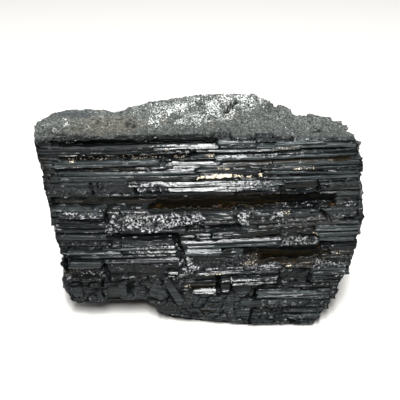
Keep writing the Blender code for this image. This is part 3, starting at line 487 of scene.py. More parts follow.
def fromMap(name, x, z):  # the map's value at a spot of the face
    column, row = x - face["x"][0], z - climb(x) - face["level"][0]
    return sampled(relief[name], column / face["cell"], row / face["cell"])


def window(x0, x1, level0, level1):  # a part of the map, and its x and levels
    c0, c1 = np.searchsorted(mapX, (x0, x1))
    r0, r1 = np.searchsorted(mapLevel, (level0, level1))
    return (slice(r0, r1), slice(c0, c1)), mapX[c0:c1][None, :], mapLevel[r0:r1][:, None]


def mapNoise(cellX, cellLevel, seed):  # value noise over the whole map
    fx, fl = (mapX - face["x"][0]) / cellX, (mapLevel - face["level"][0]) / cellLevel
    table = np.random.default_rng(seed).uniform(-1, 1, (int(fl[-1]) + 3, int(fx[-1]) + 3))
    ix, il = fx.astype(int), fl.astype(int)
    down, across = smooth(fl - il)[:, None], smooth(fx - ix)[None, :]
    return between(table, il[:, None], ix[None, :], down, across)


def addStrips(seed, width, lift, tilt, drift):  # long fibres, each at its own height and lean
    rng = np.random.default_rng(seed)
    bend = width * 1.6 * mapNoise(31, 5.0, seed + 50)
    edges = [face["level"][0] - 4]
    while edges[-1] < face["level"][1] + 4:
        edges.append(edges[-1] + width * rng.uniform(0.4, 1.9))
    edges = np.array(edges)
    bent = mapLevel[:, None] + bend
    strip = np.searchsorted(edges, bent) - 1
    wide = edges[strip + 1] - edges[strip]
    across = (bent - edges[strip]) / wide - 0.5
    knots = int((face["x"][1] - face["x"][0]) / drift) + 3
    lifts, tilts = (rng.normal(0, size, (len(edges), knots)) for size in (lift, tilt))
    at = (mapX[None, :] - face["x"][0]) / drift + rng.uniform(0, 1, len(edges))[strip]
    knot = at.astype(int)
    t = smooth((at - knot) * 1.6 - 0.3)
    height, lean = (v[strip, knot] * (1 - t) + v[strip, knot + 1] * t for v in (lifts, tilts))
    relief["fine"] += height + across * wide * lean - 0.6 * across**2 * wide


def layPlank(seed, x0, x1, level0, level1, width, proud, lean):
    rng = np.random.default_rng(seed)
    low, high = min(level0, level1) - width, max(level0, level1) + width
    at, x, level = window(x0 - 1, x1 + 1, low, high)
    middle = level0 + (level1 - level0) * (x - x0) / (x1 - x0)
    wander = 0.06 * width * np.sin(x / rng.uniform(3, 9) + rng.uniform(0, 6))
    u = (level - middle - wander) / width + 0.5  # 0 at the lower edge, 1 at the upper
    slant = rng.uniform(-0.5, 0.5) * width
    ends = 0.35 * np.sin(level * rng.uniform(3, 6) + rng.uniform(0, 6))
    inside = (u > 0) & (u < 1)
    inside &= (x > x0 + ends + slant * (u - 0.5)) & (x < x1 + ends - slant * (u - 0.5))
    back = np.maximum(0.0, u - (1 - lean)) * width * face["facetSlope"]
    below = np.maximum(0.0, face["underside"] - u) * width * 0.9
    edge = np.maximum(0.0, face["wornEdge"] - np.minimum(u, 1 - u)) * 3.0
    sway = 0.12 * np.sin(x / 11 + rng.uniform(0, 6))
    shape = proud + lean * width * face["facetSlope"] * 0.5 - back - below - edge + sway
    relief["macro"][at] = np.where(inside, shape, relief["macro"][at])
    polished = smooth((lean - 0.32) / 0.2) * smooth((u - 1 + lean) / 0.12) * smooth((1 - u) / 0.08)
    relief["facet"][at] = np.where(inside, polished, relief["facet"][at])


def cutCrack(points, width, depth):
    xs, levels = zip(*points)
    margin = width * 2 + 0.5
    at, x, level = window(
        min(xs) - margin, max(xs) + margin, min(levels) - margin, max(levels) + margin
    )
    half = width * 0.5 * (1 + 0.35 * crackNoise[at])
    inside = (half - distanceTo(x, level, points)) / (0.35 * width)
    relief["macro"][at] -= depth * smooth(inside + 0.5)


def patch(x0, x1, level0, level1, border, wobble):  # 1 inside the patch, with an uneven border
    at, x, level = window(x0 - border, x1 + border, level0 - border, level1 + border)
    near = np.minimum(np.minimum(x - x0, x1 - x), np.minimum(level - level0, level1 - level))
    return at, smooth((near + wobble[at] * border) / border + 0.5)


def layPatches(name, patches, border, wobble, unevenness=None):
    for *corners, strength in patches:
        at, mask = patch(*corners, border, wobble)
        found = mask * strength if unevenness is None else mask * strength * unevenness[at]
        relief[name][at] = np.maximum(relief[name][at], found)


def blocksOf(x, level, cellX, cellLevel, seed):  # how proud each broken block is, and the seams
    px, pl = x / cellX, level / cellLevel
    bx, bl = np.floor(px).astype(np.int64), np.floor(pl).astype(np.int64)
    table = np.random.default_rng(seed).uniform(0, 1, (4096, 5))
    first, second, value = np.full(px.shape, 9.0), np.full(px.shape, 9.0), np.zeros(px.shape)
    for dx, dl in itertools.product((-1, 0, 1), repeat=2):
        facts = table[((bx + dx) * 7919 ^ (bl + dl) * 104729) & 4095]
        ax, al = px - bx - dx - facts[..., 0], pl - bl - dl - facts[..., 1]
        away = np.maximum(np.abs(ax), np.abs(al)) * 0.6 + np.hypot(ax, al) * 0.4
        closer = away < first
        second = np.where(closer, first, np.minimum(second, away))
        proud = facts[..., 2] - 0.5 + (facts[..., 3] - 0.5) * ax + (facts[..., 4] - 0.5) * al
        value = np.where(closer, proud, value)
        first = np.minimum(first, away)
    return value, smooth(1 - (second - first) / 0.16)


def blurred(values, radius):  # running mean both ways, twice
    for axis in (0, 1, 0, 1):
        start, end = values.take([0] * radius, axis), values.take([-1] * radius, axis)
        total = np.cumsum(np.concatenate([start, values, end], axis), axis)
        size = total.shape[axis]
        later, earlier = range(2 * radius, size), range(size - 2 * radius)
        values = (total.take(later, axis) - total.take(earlier, axis)) / (2 * radius)
    return values


stage("relief map of the face")
relief["macro"] += face["gap"]
# seed, width, spread of the heights, spread of the leans, length before a fibre changes
for strips in ((3, 1.5, 0.13, 0.13, 34), (4, 0.7, 0.08, 0.14, 28), (5, 0.38, 0.04, 0.12, 22)):
    addStrips(*strips)
for i, plank in enumerate(facePlanks):
    layPlank(100 + i, *plank)
wobble = 0.7 * mapNoise(3.0, 1.4, 11) + 0.5 * mapNoise(1.2, 0.7, 12)
patchy = mapNoise(4.5, 1.6, 19) + 0.6 * mapNoise(1.6, 0.8, 20)
crackNoise = mapNoise(1.6, 0.8, 13) + 0.5 * mapNoise(0.6, 0.4, 14)
speckle = mapNoise(2.6, 0.45, 15) + 0.6 * mapNoise(0.9, 0.3, 16)
crumbs = mapNoise(0.9, 0.5, 17) + 0.5 * mapNoise(0.45, 0.3, 18)
for crack in faceCracks:
    cutCrack(*crack)
layPatches("rough", roughGround, 1.3, 1.5 * wobble, np.clip(0.92 + 0.3 * patchy, 0.5, 1.1))
layPatches("stain", ironStains, 1.0, wobble, np.clip(0.75 + 0.6 * speckle, 0, 1.2))
layPatches("film", paleFilm, 1.4, wobble)
layPatches("cream", creamCrumbs, 0.35, wobble, 1 + 0.35 * crumbs)
layPatches("blocky", blockyGround, 1.6, wobble)
for *corners, depth in shadedHollows:
    at, mask = patch(*corners, 1.2, 0.5 * wobble)
    relief["macro"][at] = relief["macro"][at] * (1 - mask) - depth * mask
    relief["fine"][at] *= 1 - 0.2 * mask
    relief["facet"][at] *= 1 - mask
    relief["shade"][at] = np.maximum(relief["shade"][at], mask * min(1, depth / 2.4))

gridX, gridLevel = np.meshgrid(mapX, mapLevel)
blocks, seams = blocksOf(gridX, gridLevel, 4.6, 3.0, 24)
chunks, _ = blocksOf(gridX, gridLevel, 2.1, 1.5, 25)
flat = np.stack([gridX.ravel(), np.zeros(gridX.size), gridLevel.ravel()], axis=1)
grain = (grains(flat, 1.15, 21) * 0.55 + grains(flat, 0.55, 22) * 0.3).reshape(gridX.shape)
lumpy = mapNoise(3.4, 2.2, 23)
blocky, cream = relief["blocky"], relief["cream"]
relief["rough"] = rough = np.maximum(relief["rough"], ground["blockRough"] * blocky)
height = relief["macro"] + relief["fine"] * (1 - ground["calm"] * rough)
height += rough * (grain * ground["grain"] + ground["lump"] * lumpy)
height += ground["crumb"] * cream
pieces = ground["block"] * blocks + ground["chunk"] * chunks
height += blocky * (pieces - seams * smooth(0.6 + 1.2 * lumpy))
relief["height"] = height

for points, proud, leanX, leanLevel in shards:
    ax, al = np.array(points).T
    at, x, level = window(ax.min() - 1, ax.max() + 1, al.min() - 1, al.max() + 1)
    inside = np.full(np.broadcast(x, level).shape, 9.0)
    for x0, level0, x1, level1 in zip(ax, al, np.roll(ax, -1), np.roll(al, -1)):
        side = (x - x0) * (level1 - level0) - (level - level0) * (x1 - x0)
        inside = np.minimum(inside, side / math.hypot(x1 - x0, level1 - level0))
    mask = smooth(0.5 + inside / 0.3)
    flatTop = proud + leanX * (x - ax.mean()) + leanLevel * (level - al.mean()) + 0.12 * grain[at]
    height[at] += mask * (flatTop - height[at])
    rough[at] *= 1 - 0.35 * mask
for covering, reach in ((rough, 1.5), (blocky, 1.5), (cream, 3)):  # these hide the facets
    relief["facet"] *= 1 - np.clip(covering * reach, 0, 1)
# the groove mask: grooves and shaded hollows, where the colour goes to a painted shade and the
# normals turn down
sunken = smooth((blurred(height, 8) - height - 0.06) / 0.5)
relief["groove"] = np.maximum(sunken, 0.75 * relief["shade"])


# The crust seen from above: one row for each y, one column for each x.
planCell = 0.2
planX, planY = np.arange(-61.0, 61.0, planCell), np.arange(-27.0, 27.0, planCell)
onX, onY = np.meshgrid(planX, planY)
flatPlan = np.stack([onX.ravel(), onY.ravel(), np.zeros(onX.size)], axis=1)
ragged = 0.55 * layers(flatPlan, 2.2, 61).reshape(onX.shape)
spotTables = {"bright": brightSpots, "dark": darkSpots, "warm": warmSpots, "slate": slateSpots}
plan = {name: np.zeros(onX.shape) for name in (*spotTables, "crack")}
for name, spots in spotTables.items():
    for atX, atY, halfWidth, halfDepth, strength in spots:
        away = np.hypot((onX - atX) / halfWidth, (onY - atY) / halfDepth)
        plan[name] = np.maximum(plan[name], strength * smooth(1.35 - away + 0.6 * ragged))
for points, width, depth in crustCracks:
    inside = (width * 0.5 * (1 + 0.5 * ragged) - distanceTo(onX, onY, points)) / (0.5 * width)
    plan["crack"] = np.maximum(plan["crack"], depth * smooth(inside + 0.5))
past = ramp(benchEdge, onX) + 0.3 * ragged - onY  # how far a spot lies out on the bench
reached = onX > benchEdge[0][0]
plan["bench"] = smooth(past / 0.4 + 0.5) * reached
# a line of painted shade in the crack mask, at the foot of the step down to the bench
plan["crack"] = np.maximum(plan["crack"], smooth(1.6 - np.abs(past - 0.7) / 0.8) * reached)
plan["slate"] = np.maximum(plan["slate"], 0.6 * plan["bench"])
plan["dark"] = np.maximum(plan["dark"], 0.75 * plan["bench"])


def fromPlan(name, x, y):
    return sampled(plan[name], (x - planX[0]) / planCell, (y - planY[0]) / planCell)


def meshOf(name, places, faces):
    mesh = bpy.data.meshes.new(name)
    mesh.from_pydata([tuple(p) for p in places], [], faces)
    obj = bpy.data.objects.new(name, mesh)
    scene.collection.objects.link(obj)
    return obj


def edit(mesh, *changes):
    bm = bmesh.new()
    bm.from_mesh(mesh)
    for change in changes:
        change(bm)
    bm.to_mesh(mesh)
    bm.free()


def sheetSolid(name, front, back):  # a closed solid between two grids of points (rows, columns, 3)
    rows, columns = front.shape[:2]
    places = np.concatenate([front.reshape(-1, 3), back.reshape(-1, 3)])
    n = rows * columns
    faces = []
    for r in range(rows - 1):
        for c in range(columns - 1):
            a = r * columns + c
            faces.append((a, a + 1, a + columns + 1, a + columns))
            faces.append((n + a, n + a + columns, n + a + columns + 1, n + a + 1))
    rim = list(range(columns))
    rim += [r * columns + columns - 1 for r in range(1, rows)]
    rim += [(rows - 1) * columns + c for c in range(columns - 2, -1, -1)]
    rim += [r * columns for r in range(rows - 2, 0, -1)]
    for a, b in zip(rim, rim[1:] + rim[:1]):
        faces.append((b, a, n + a, n + b))
    obj = meshOf(name, places, faces)
    edit(obj.data, lambda bm: bmesh.ops.recalc_face_normals(bm, faces=bm.faces))
    return obj


def hullOf(name, points):
    obj = meshOf(name, points, [])
    edit(obj.data, lambda bm: bmesh.ops.convex_hull(bm, input=bm.verts))
    return obj


# Sizes are in millimetres
block = {
    "slabLevels": (0.4, 71.6, 0.9),
    "slabColumns": 60,
    "slabDepth": 7.5,         # how far the plain face reaches into the block
    # what lies in front of the face is cut off
    "cutLevels": (-6, 92, 1.0),
    "cutX": (-72, 72, 73),
    "cutFront": -60,
    "cutGap": 0.05,
    "voxel": 0.27,
    "quickVoxel": 0.5,
    "past": 0.4,              # how far the relief may pass the box of the model
    "crustLevel": 60,         # nothing below this height counts as crust
    "thinnedFaces": 54000,    # left for everything but the face
    "triangles": 194000,
    "sharpAngle": 38,
}


def faceGrid(depth):  # the plain face, depth behind it, out to the broken ends
    rng = np.random.default_rng(31)
    levels, columns = np.arange(*block["slabLevels"]), block["slabColumns"]
    grid = np.zeros((len(levels), columns, 3))
    stepLeft = stepRight = 0.0
    for r, z in enumerate(levels):
        if r % 3 == 0:
            stepLeft, stepRight = rng.uniform(-0.9, 0.7, 2)
        left, right = ramp(face["left"], z) + stepLeft, ramp(face["right"], z) + stepRight
        x = np.linspace(left, right, columns)
        raised = z + (ramp(face["top"], x) - block["slabLevels"][1]) * smooth((z - 60) / 11.2)
        grid[r, :, 0], grid[r, :, 1], grid[r, :, 2] = x, faceY(x, z) + depth, raised
    return grid


def apply(obj):
    bpy.context.view_layer.update()
    graph = bpy.context.evaluated_depsgraph_get()
    mesh = bpy.data.meshes.new_from_object(obj.evaluated_get(graph))
    old = obj.data
    obj.modifiers.clear()
    obj.data = mesh
    bpy.data.meshes.remove(old)


def placesAndNormals(mesh):
    found = []
    for source, what in ((mesh.vertices, "co"), (mesh.vertex_normals, "vector")):
        values = np.zeros(len(source) * 3, np.float32)
        source.foreach_get(what, values)
        found.append(values.reshape(-1, 3).astype(float))
    return found


# Heights on the crust, in millimetres
crustHeights = {
    "lump": 0.55,
    "chip": 0.25, "sugaryChip": 0.35,    # broken flakes, and how much more on sugary spots
    "grain": 0.24, "sugaryGrain": 0.25,
    "tiny": 0.16,
    "bench": 0.9,             # how far the bench along the face lies below the rest
    "crack": 1.3,
    "pit": 0.55,
}


def thinOut(share, group=""):
    thin = crystal.modifiers.new("Thin", "DECIMATE")
    thin.vertex_group, thin.ratio = group, min(1.0, share)
    apply(crystal)


stage("rough block")
crystal = bpy.data.objects.new("crystal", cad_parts["tourmaline_crystal"].data.copy())
scene.collection.objects.link(crystal)
crystal.data.transform(Matrix.Scale(1000, 4))  # millimetres while it is shaped
edit(crystal.data, lambda bm: bmesh.ops.remove_doubles(bm, verts=bm.verts, dist=0.0005))
slab = sheetSolid("slab", faceGrid(0.0), faceGrid(block["slabDepth"]))
cutLevels, cutX = np.arange(*block["cutLevels"]), np.linspace(*block["cutX"])
cutFront = np.zeros((len(cutLevels), len(cutX), 3))
cutFront[:, :, 0] = cutX[None, :]
cutFront[:, :, 2] = cutLevels[:, None]
cutBack = cutFront.copy()
cutFront[:, :, 1] = block["cutFront"]
for r, z in enumerate(cutLevels):
    cutBack[r, :, 1] = faceY(cutX, z) - block["cutGap"]
cutter = sheetSolid("cutter", cutFront, cutBack)
tools = (
    (slab, "UNION"), (cutter, "DIFFERENCE"), (hullOf("shoulder", shoulder), "UNION"),
    (hullOf("ledgeBlock", ledgeBlock), "UNION"), (hullOf("cornerCut", cornerCut), "DIFFERENCE"),
)
for tool, operation in tools:
    modifier = crystal.modifiers.new(operation, "BOOLEAN")
    modifier.operation, modifier.object, modifier.solver = operation, tool, "EXACT"
remesh = crystal.modifiers.new("Remesh", "REMESH")
remesh.mode, remesh.voxel_size = "VOXEL", block["voxel"]
apply(crystal)
for tool, _ in tools:
    bpy.data.objects.remove(tool)
stage("remeshed to %d faces" % len(crystal.data.polygons))

place, normal = placesAndNormals(crystal.data)
x, y, z = place.T
ahead = smooth((-normal[:, 1] - 0.2) / 0.4) * smooth((faceY(x, z) + 1.6 - y) / 0.8)
ahead *= smooth((ramp(face["top"], x) + 0.3 - z) / 0.8)
rim = np.minimum(x - ramp(face["left"], z), ramp(face["right"], z) - x)
ahead *= smooth((rim + 1.6) / 0.8)
upward = smooth((normal[:, 2] - 0.25) / 0.4) * smooth((z - block["crustLevel"]) / 5)
across = smooth((np.abs(normal[:, 0]) - 0.45) / 0.35)
side = np.clip(1 - ahead - upward - across, 0, 1)

moved = place.copy()
moved[:, 1] -= ahead * fromMap("height", x, z)
fibre = np.stack([x / 26, y, (z - climb(x))], axis=1)
streaks = 0.55 * layers(fibre, 2.4, 41, 2) + 0.32 * spread(fibre, 0.8, 44)
lumps = layers(place, 5.0, 51, 3)
chips = grains(place * (0.8, 1, 1), 2.2, 52)
small = grains(place, 0.95, 53)
outward = side * (streaks * 0.75 - 0.1)
outward += across * (-0.35 + 0.35 * small + 0.45 * spread(place, 1.6, 55) + 0.35 * lumps)
even = 1 - 0.8 * np.clip(fromPlan("slate", x, y), 0, 1)
tiny = grains(place, 0.6, 54)
sugar = np.clip(fromPlan("bright", x, y), 0, 1.2)
chipHeight = crustHeights["chip"] + crustHeights["sugaryChip"] * sugar
grainHeight = crustHeights["grain"] + crustHeights["sugaryGrain"] * sugar
broken = chipHeight * chips + grainHeight * small + crustHeights["tiny"] * tiny
crustRelief = crustHeights["lump"] * lumps + even * broken
for x0, x1, y0, y1, lift in crustSteps:
    crustRelief += lift * ((x > x0) & (x < x1) & (y > y0) & (y < y1))
crustRelief -= crustHeights["bench"] * fromPlan("bench", x, y)
pits = crustHeights["pit"] * np.clip(fromPlan("dark", x, y), 0, 1)
crustRelief -= fromPlan("crack", x, y) * crustHeights["crack"] + pits
outward += upward * crustRelief
resting = smooth(z / 1.5)  # the foot stays level
moved += normal * (outward * resting)[:, None]
moved[:, 2] = np.maximum(moved[:, 2], 0.0)
low, high = np.array(cadBox[0]) * 1000, np.array(cadBox[1]) * 1000
margin = block["past"]
moved = np.clip(moved, low - (margin, margin, 0), high + margin)
crystal.data.vertices.foreach_set("co", moved.astype(np.float32).ravel())
crystal.data.update()
stage("relief laid on")

# The striated face keeps most of the triangles: the rest is thinned out first.
place, normal = placesAndNormals(crystal.data)
x, y, z = place.T
plainness = 1 - smooth((faceY(x, z) + 4.4 - y) / 1.2)
onTop = smooth((normal[:, 2] - 0.1) / 0.3) * smooth((z - block["crustLevel"]) / 4)
marks = np.clip(2 * (fromPlan("crack", x, y) + fromPlan("dark", x, y)), 0, 1)
plainness = np.minimum(plainness, 1 - onTop * (0.72 + 0.28 * marks))
frontFaces = len(crystal.data.polygons) * float(np.mean(plainness < 0.02))
group = crystal.vertex_groups.new(name="plain")
for step in range(1, 11):
    chosen = np.flatnonzero(np.ceil(plainness * 10) == step)
    group.add(chosen.tolist(), step / 10, "REPLACE")
thinOut((frontFaces + block["thinnedFaces"]) / len(crystal.data.polygons), "plain")
stage("plain sides thinned to %d faces, face %d" % (len(crystal.data.polygons), frontFaces))
triangles = sum(len(p.vertices) - 2 for p in crystal.data.polygons)
thinOut(block["triangles"] / triangles)
edit(
    crystal.data,
    lambda bm: bmesh.ops.dissolve_degenerate(bm, dist=0.0002, edges=bm.edges),
    lambda bm: bmesh.ops.triangulate(bm, faces=bm.faces),
)
crystal.vertex_groups.clear()
stage("decimated to %d triangles" % len(crystal.data.polygons))

place, normal = placesAndNormals(crystal.data)
x, y, z = place.T
onFace = smooth((faceY(x, z) + 4.6 - y) / 0.6) * smooth((ramp(face["top"], x) + 0.8 - z) / 1.0)
crustFoot = ramp([(-60, 63), (25, 63), (45, 57), (58, 54)], x)
crust = smooth((normal[:, 2] - 0.05) / 0.35) * smooth((z - crustFoot) / 2)
crust *= smooth(1 - onFace * 1.3 + 0.3 * smooth((z - 70) / 2))
ends = smooth((np.abs(normal[:, 0]) - 0.35) / 0.3) * (1 - onFace)
masks = {
    "rough": np.maximum(onFace * fromMap("rough", x, z), ends * 0.6),
    "film": np.maximum(onFace * fromMap("film", x, z), 0.5 * smooth(1 - 2 * onFace)),
    "crust": crust,
    "crack": fromPlan("crack", x, y) * smooth((z - 66) / 3),
    **{name: onFace * fromMap(name, x, z) for name in ("stain", "cream", "groove", "facet")},
    **{name: fromPlan(name, x, y) for name in ("bright", "dark", "warm", "slate")},
}
for name, values in masks.items():
    layer = crystal.data.attributes.new(name, "FLOAT", "POINT")
    layer.data.foreach_set("value", values.astype(np.float32))
crystal.data.transform(Matrix.Scale(mm, 4))
crystal.data.shade_smooth()
crystal.data.set_sharp_from_angle(angle=math.radians(block["sharpAngle"]))


stage("material")


# These add nodes to "tree", which is the stone's or the studio's in turn.
def fill(sockets, values):
    for socket, value in zip(sockets, values):
        if hasattr(value, "is_linked"):
            tree.links.new(value, socket)
        else:
            socket.default_value = value


def node(kind, *values, **settings):  # values go to the sockets in order, settings by name
    made = tree.nodes.new(kind)
    for key, value in settings.items():
        if key in made.inputs:
            fill([made.inputs[key]], [value])
        else:
            setattr(made, key, value)
    fill(made.inputs, values)
    return made


def calc(operation, a, b, clamp=False):
    return node("ShaderNodeMath", a, b, operation=operation, use_clamp=clamp).outputs[0]


def plus(a, b, clamp=False):
    return calc("ADD", a, b, clamp)


def minus(a, b):
    return calc("SUBTRACT", a, b)


def times(a, b):
    return calc("MULTIPLY", a, b)


def vectorCalc(operation, a, b):
    return node("ShaderNodeVectorMath", a, b, operation=operation).outputs[0]


def blend(factor, a, b):
    made = node("ShaderNodeMix", data_type="RGBA", clamp_factor=True)
    fill((made.inputs[0], made.inputs[6], made.inputs[7]), (factor, a, b))
    return made.outputs[2]


def remap(value, low, high, to0=0.0, to1=1.0):
    return node("ShaderNodeMapRange", value, low, high, to0, to1, clamp=True).outputs[0]


def noiseOf(vector, scale, detail=2.0, roughness=0.55):
    made = node(
        "ShaderNodeTexNoise", Vector=vector, Scale=scale, Detail=detail, Roughness=roughness
    )
    return made.outputs["Fac"]


def cellsOf(scale):  # grains of one colour each: the colour, and its three parts
    colour = node("ShaderNodeTexVoronoi", Vector=where, Scale=scale, feature="F1").outputs["Color"]
    return colour, node("ShaderNodeSeparateColor", colour).outputs


def attribute(name):
    return node("ShaderNodeAttribute", attribute_name=name).outputs["Fac"]


stone = {
    "black": (0.0022, 0.0027, 0.0030, 1),
    "film": (0.050, 0.061, 0.063, 1),
    "broken": (0.0085, 0.0095, 0.0105, 1),
    # pale grains of broken ground, partly a painted glint
    "paleGrainGlint": (0.40, 0.405, 0.415, 1),
    "crustDark": (0.019, 0.022, 0.021, 1),
    "crustLight": (0.156, 0.168, 0.157, 1),
    "crustWarm": (0.120, 0.108, 0.082, 1),
    "sugar": (0.60, 0.62, 0.60, 1),
    "slate": (0.045, 0.052, 0.055, 1),
    # near-black colour of painted shade in grooves, shaded hollows and cracks
    "paintedShade": (0.0008, 0.0009, 0.0010, 1),
    "brown": (0.0100, 0.0070, 0.0024, 1),
    "rust": (0.085, 0.040, 0.014, 1),
    "cream": (0.47, 0.405, 0.31, 1),
    "gloss": 0.16,            # roughness of the black prisms
    "index": 1.62,            # refraction
    "shine": 0.085,
    "grain": 2100.0,          # grains to a metre on broken ground
    "grit": 2500.0,           # and on the crust
    "grainTilt": 1.5,         # how far each grain faces its own way
    "bump": 0.00016,
    "shade": 0.92,            # how far grooves and cracks go to the painted shade colour
    "ledge": 0.65,            # how steeply the deepest grooves face the ledge below
}

material = bpy.data.materials.new("blackTourmaline")
material.use_nodes = True
tree = material.node_tree
shader = tree.nodes["Principled BSDF"]
where = node("ShaderNodeTexCoord").outputs["Object"]
alongX, acrossY, upZ = node("ShaderNodeSeparateXYZ", where).outputs
along = plus(alongX, -face["x"][0] * mm)
risen = minus(upZ, times(times(along, along), face["climb"] / mm))
fibreSpot = node("ShaderNodeCombineXYZ", alongX, acrossY, risen).outputs[0]
fibres = vectorCalc("MULTIPLY", fibreSpot, (9, 1000, 1000))
inMm = vectorCalc("MULTIPLY", where, (1000, 1000, 1000))
rough, stain, cream = attribute("rough"), attribute("stain"), attribute("cream")
crust, bright, groove, facet = (attribute(name) for name in ("crust", "bright", "groove", "facet"))

# black prisms with a pale film in streaks
broad = noiseOf(fibres, 0.35)
streak = noiseOf(fibres, 1.3, 2, 0.6)
hair = noiseOf(fibres, 3.6, 1)
film = times(remap(streak, 0.40, 0.62), remap(hair, 0.35, 0.6, 0.35, 1.0))
film = times(film, remap(plus(attribute("film"), times(broad, 0.5)), 0.2, 1.1, 0.05, 1.0))
colour = blend(film, stone["black"], stone["film"])

# broken ground with pale grains, part of them a painted glint
grainColour, grainParts = cellsOf(stone["grain"])
glint = times(remap(grainParts[0], 0.52, 0.70), remap(rough, 0.65, 0.95, 0.03, 1.0))
colour = blend(rough, colour, blend(glint, stone["broken"], stone["paleGrainGlint"]))
# painted shade: grooves and shaded hollows go towards the near-black colour
colour = blend(times(groove, stone["shade"]), colour, stone["paintedShade"])

# crust
mottle = noiseOf(inMm, 1.3, 4, 0.8)
_, gritParts = cellsOf(stone["grit"])
speckled = times(minus(gritParts[0], 0.5), remap(bright, 0.0, 0.6, 0.45, 1.3))
grey = plus(speckled, remap(mottle, 0.38, 0.62, 0.0, 0.95))
crustColour = blend(remap(grey, 0.0, 1.0), stone["crustDark"], stone["crustLight"])
warm = times(attribute("warm"), remap(gritParts[2], 0.2, 0.8, 0.35, 0.9))
crustColour = blend(warm, crustColour, stone["crustWarm"])
# sugary pale grains on the crust, partly a painted sparkle
sugar = plus(times(calc("MINIMUM", bright, 1.0), 0.50), times(gritParts[1], 0.85))
sugar = remap(plus(sugar, remap(mottle, 0.35, 0.65, -0.22, 0.22)), 0.88, 1.10)
crustColour = blend(sugar, crustColour, stone["sugar"])
shaded = remap(acrossY, -0.021, 0.006, 0.52, 0.0)  # darker towards the face
crustColour = blend(shaded, crustColour, stone["crustDark"])
crustColour = blend(times(attribute("slate"), 0.85), crustColour, stone["slate"])
crustColour = blend(times(attribute("dark"), 0.9), crustColour, stone["black"])
colour = blend(crust, colour, crustColour)

# iron stain, painted shade in the cracks, and cream crumbs
browned = times(remap(stain, 0.15, 0.7), remap(hair, 0.42, 0.58, 0.2, 1.0))
colour = blend(browned, colour, stone["brown"])
colour = blend(remap(stain, 1.0, 1.5), colour, stone["rust"])
# painted shade: the cracks of the crust go towards the near-black colour
colour = blend(times(attribute("crack"), stone["shade"]), colour, stone["paintedShade"])
fleck = minus(noiseOf(inMm, 1.9, 2, 0.6), calc("LESS_THAN", cream, 0.08))  # none off the patches
creamy = plus(times(cream, 1.2), times(minus(fleck, 0.5), 3.2))
colour = blend(remap(creamy, 0.62, 0.8), colour, stone["cream"])

roughness = plus(plus(stone["gloss"], times(film, 0.22)), times(crust, 0.25))
roughness = calc("MAXIMUM", minus(roughness, times(facet, 0.1)), 0.12)
roughness = plus(roughness, times(stain, 0.12), clamp=True)

# The facets lean back to mirror the front light, and the deepest grooves face the ledge below.
bump = node(
    "ShaderNodeBump", Strength=0.8, Distance=stone["bump"], Height=plus(streak, times(hair, 0.7))
)
lean = plus(face["facetSlope"], times(minus(hair, 0.5), 0.9))
lean = plus(lean, times(minus(streak, 0.5), 2.2))
sunk = times(remap(groove, 0.62, 0.75), remap(rough, 0.3, 0.8, 1.0, 0.0))
lean = minus(times(lean, minus(1.0, sunk)), times(sunk, stone["ledge"]))
facetNormal = node("ShaderNodeCombineXYZ", 0.0, -1.0, lean)
turned = node("ShaderNodeMix", data_type="VECTOR", clamp_factor=True)
turn = calc("MAXIMUM", times(facet, 0.85), times(sunk, 0.9))
fill(
    (turned.inputs[0], turned.inputs[4], turned.inputs[5]),
    (turn, bump.outputs[0], facetNormal.outputs[0]),
)
tilt = vectorCalc("SUBTRACT", grainColour, (0.5, 0.5, 0.5))  # each grain faces its own way
amount = calc("MAXIMUM", remap(rough, 0.3, 0.9, 0.05, 1.0), crust)
amount = times(amount, stone["grainTilt"])
tilt = node("ShaderNodeVectorMath", tilt, operation="SCALE", Scale=amount).outputs[0]
turned = vectorCalc("ADD", turned.outputs[1], tilt)
facing = node("ShaderNodeVectorMath", turned, operation="NORMALIZE").outputs[0]
settings = {
    "Base Color": colour, "Roughness": roughness, "Normal": facing,
    "IOR": stone["index"], "Specular IOR Level": stone["shine"],
}
fill([shader.inputs[name] for name in settings], settings.values())

crystal.data.materials.clear()
crystal.data.materials.append(material)
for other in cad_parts.values():
    other.data.materials.clear()
    other.data.materials.append(material)
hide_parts("tourmaline_crystal")
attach(crystal, "root")


stage("floor, light and camera")
studio = {
    "floor": (0.72, 0.71, 0.685, 1),
    "above": 0.52,           # light from overhead
    "level": 0.26,           # light from the walls
    "behind": 0.14,          # light from behind the camera
    "overhead": {"at": (0.0, -0.033, 1.2), "size": (0.70, 0.57), "power": 11.7},
    "front": {"at": (-0.002, -0.46, 0.45), "size": (0.08, 0.26), "power": 8.2},
    "lit": (0, -0.01, 0.04),  # the spot that both lights point at
    "elevation": 24.0,        # how far the camera looks down
    "distance": 0.364,
    "aim": (0.36, 2.55),      # millimetres sideways and up from the middle
    "lens": 90,
}

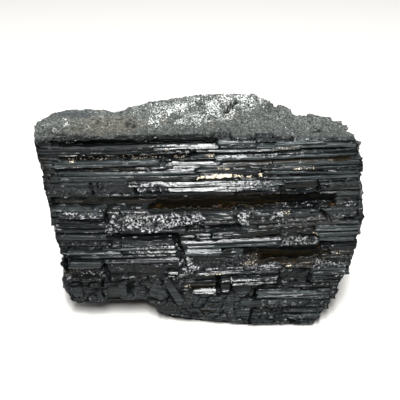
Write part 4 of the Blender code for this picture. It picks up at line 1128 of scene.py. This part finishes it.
floor = meshOf("floor", [(-3, -3, 0), (3, -3, 0), (3, 3, 0), (-3, 3, 0)], [(0, 1, 2, 3)])
floorMaterial = bpy.data.materials.new("floor")
floorMaterial.use_nodes = True
floorShader = floorMaterial.node_tree.nodes["Principled BSDF"]
floorShader.inputs["Base Color"].default_value = studio["floor"]
floorShader.inputs["Roughness"].default_value = 0.8
floorShader.inputs["Specular IOR Level"].default_value = 0.0
floor.data.materials.append(floorMaterial)

world = bpy.data.worlds.new("studio")
scene.world = world
world.use_nodes = True
tree = world.node_tree
direction = node("ShaderNodeTexCoord").outputs["Generated"]
_, ahead, up = node("ShaderNodeSeparateXYZ", direction).outputs
walls = remap(ahead, -0.9, 0.3, studio["behind"], studio["level"])
brightness = plus(walls, times(remap(up, 0.15, 0.75), minus(studio["above"], walls)))
fill(tree.nodes["Background"].inputs, ((1, 1, 1, 1), brightness))

for name in ("overhead", "front"):
    lamp = bpy.data.lights.new(name, "AREA")
    lamp.shape = "RECTANGLE"
    lamp.size, lamp.size_y = studio[name]["size"]
    lamp.energy = studio[name]["power"]
    softbox = bpy.data.objects.new(name, lamp)
    scene.collection.objects.link(softbox)
    softbox.location = studio[name]["at"]
    softbox.rotation_mode = "QUATERNION"
    toBlock = Vector(studio["lit"]) - softbox.location
    softbox.rotation_quaternion = toBlock.to_track_quat("-Z", "Y")

tiltDown = math.radians(studio["elevation"])
forward = Vector((0, math.cos(tiltDown), -math.sin(tiltDown)))
upwards = Vector((0, math.sin(tiltDown), math.cos(tiltDown)))
middle = Vector((0, 0, (cadBox[1][2] + cadBox[0][2]) / 2))
aim = middle + Vector((studio["aim"][0] * mm, 0, 0)) + upwards * studio["aim"][1] * mm
camera = bpy.data.objects.new("camera", bpy.data.cameras.new("camera"))
scene.collection.objects.link(camera)
camera.data.lens, camera.data.sensor_width = studio["lens"], 36
camera.data.clip_start, camera.data.clip_end = 0.01, 20
camera.location = aim - forward * studio["distance"]
camera.rotation_mode = "QUATERNION"
camera.rotation_quaternion = forward.to_track_quat("-Z", "Y")
bpy.context.scene.camera = camera
scene.view_settings.view_transform = "Standard"

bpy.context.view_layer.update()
stage("done")
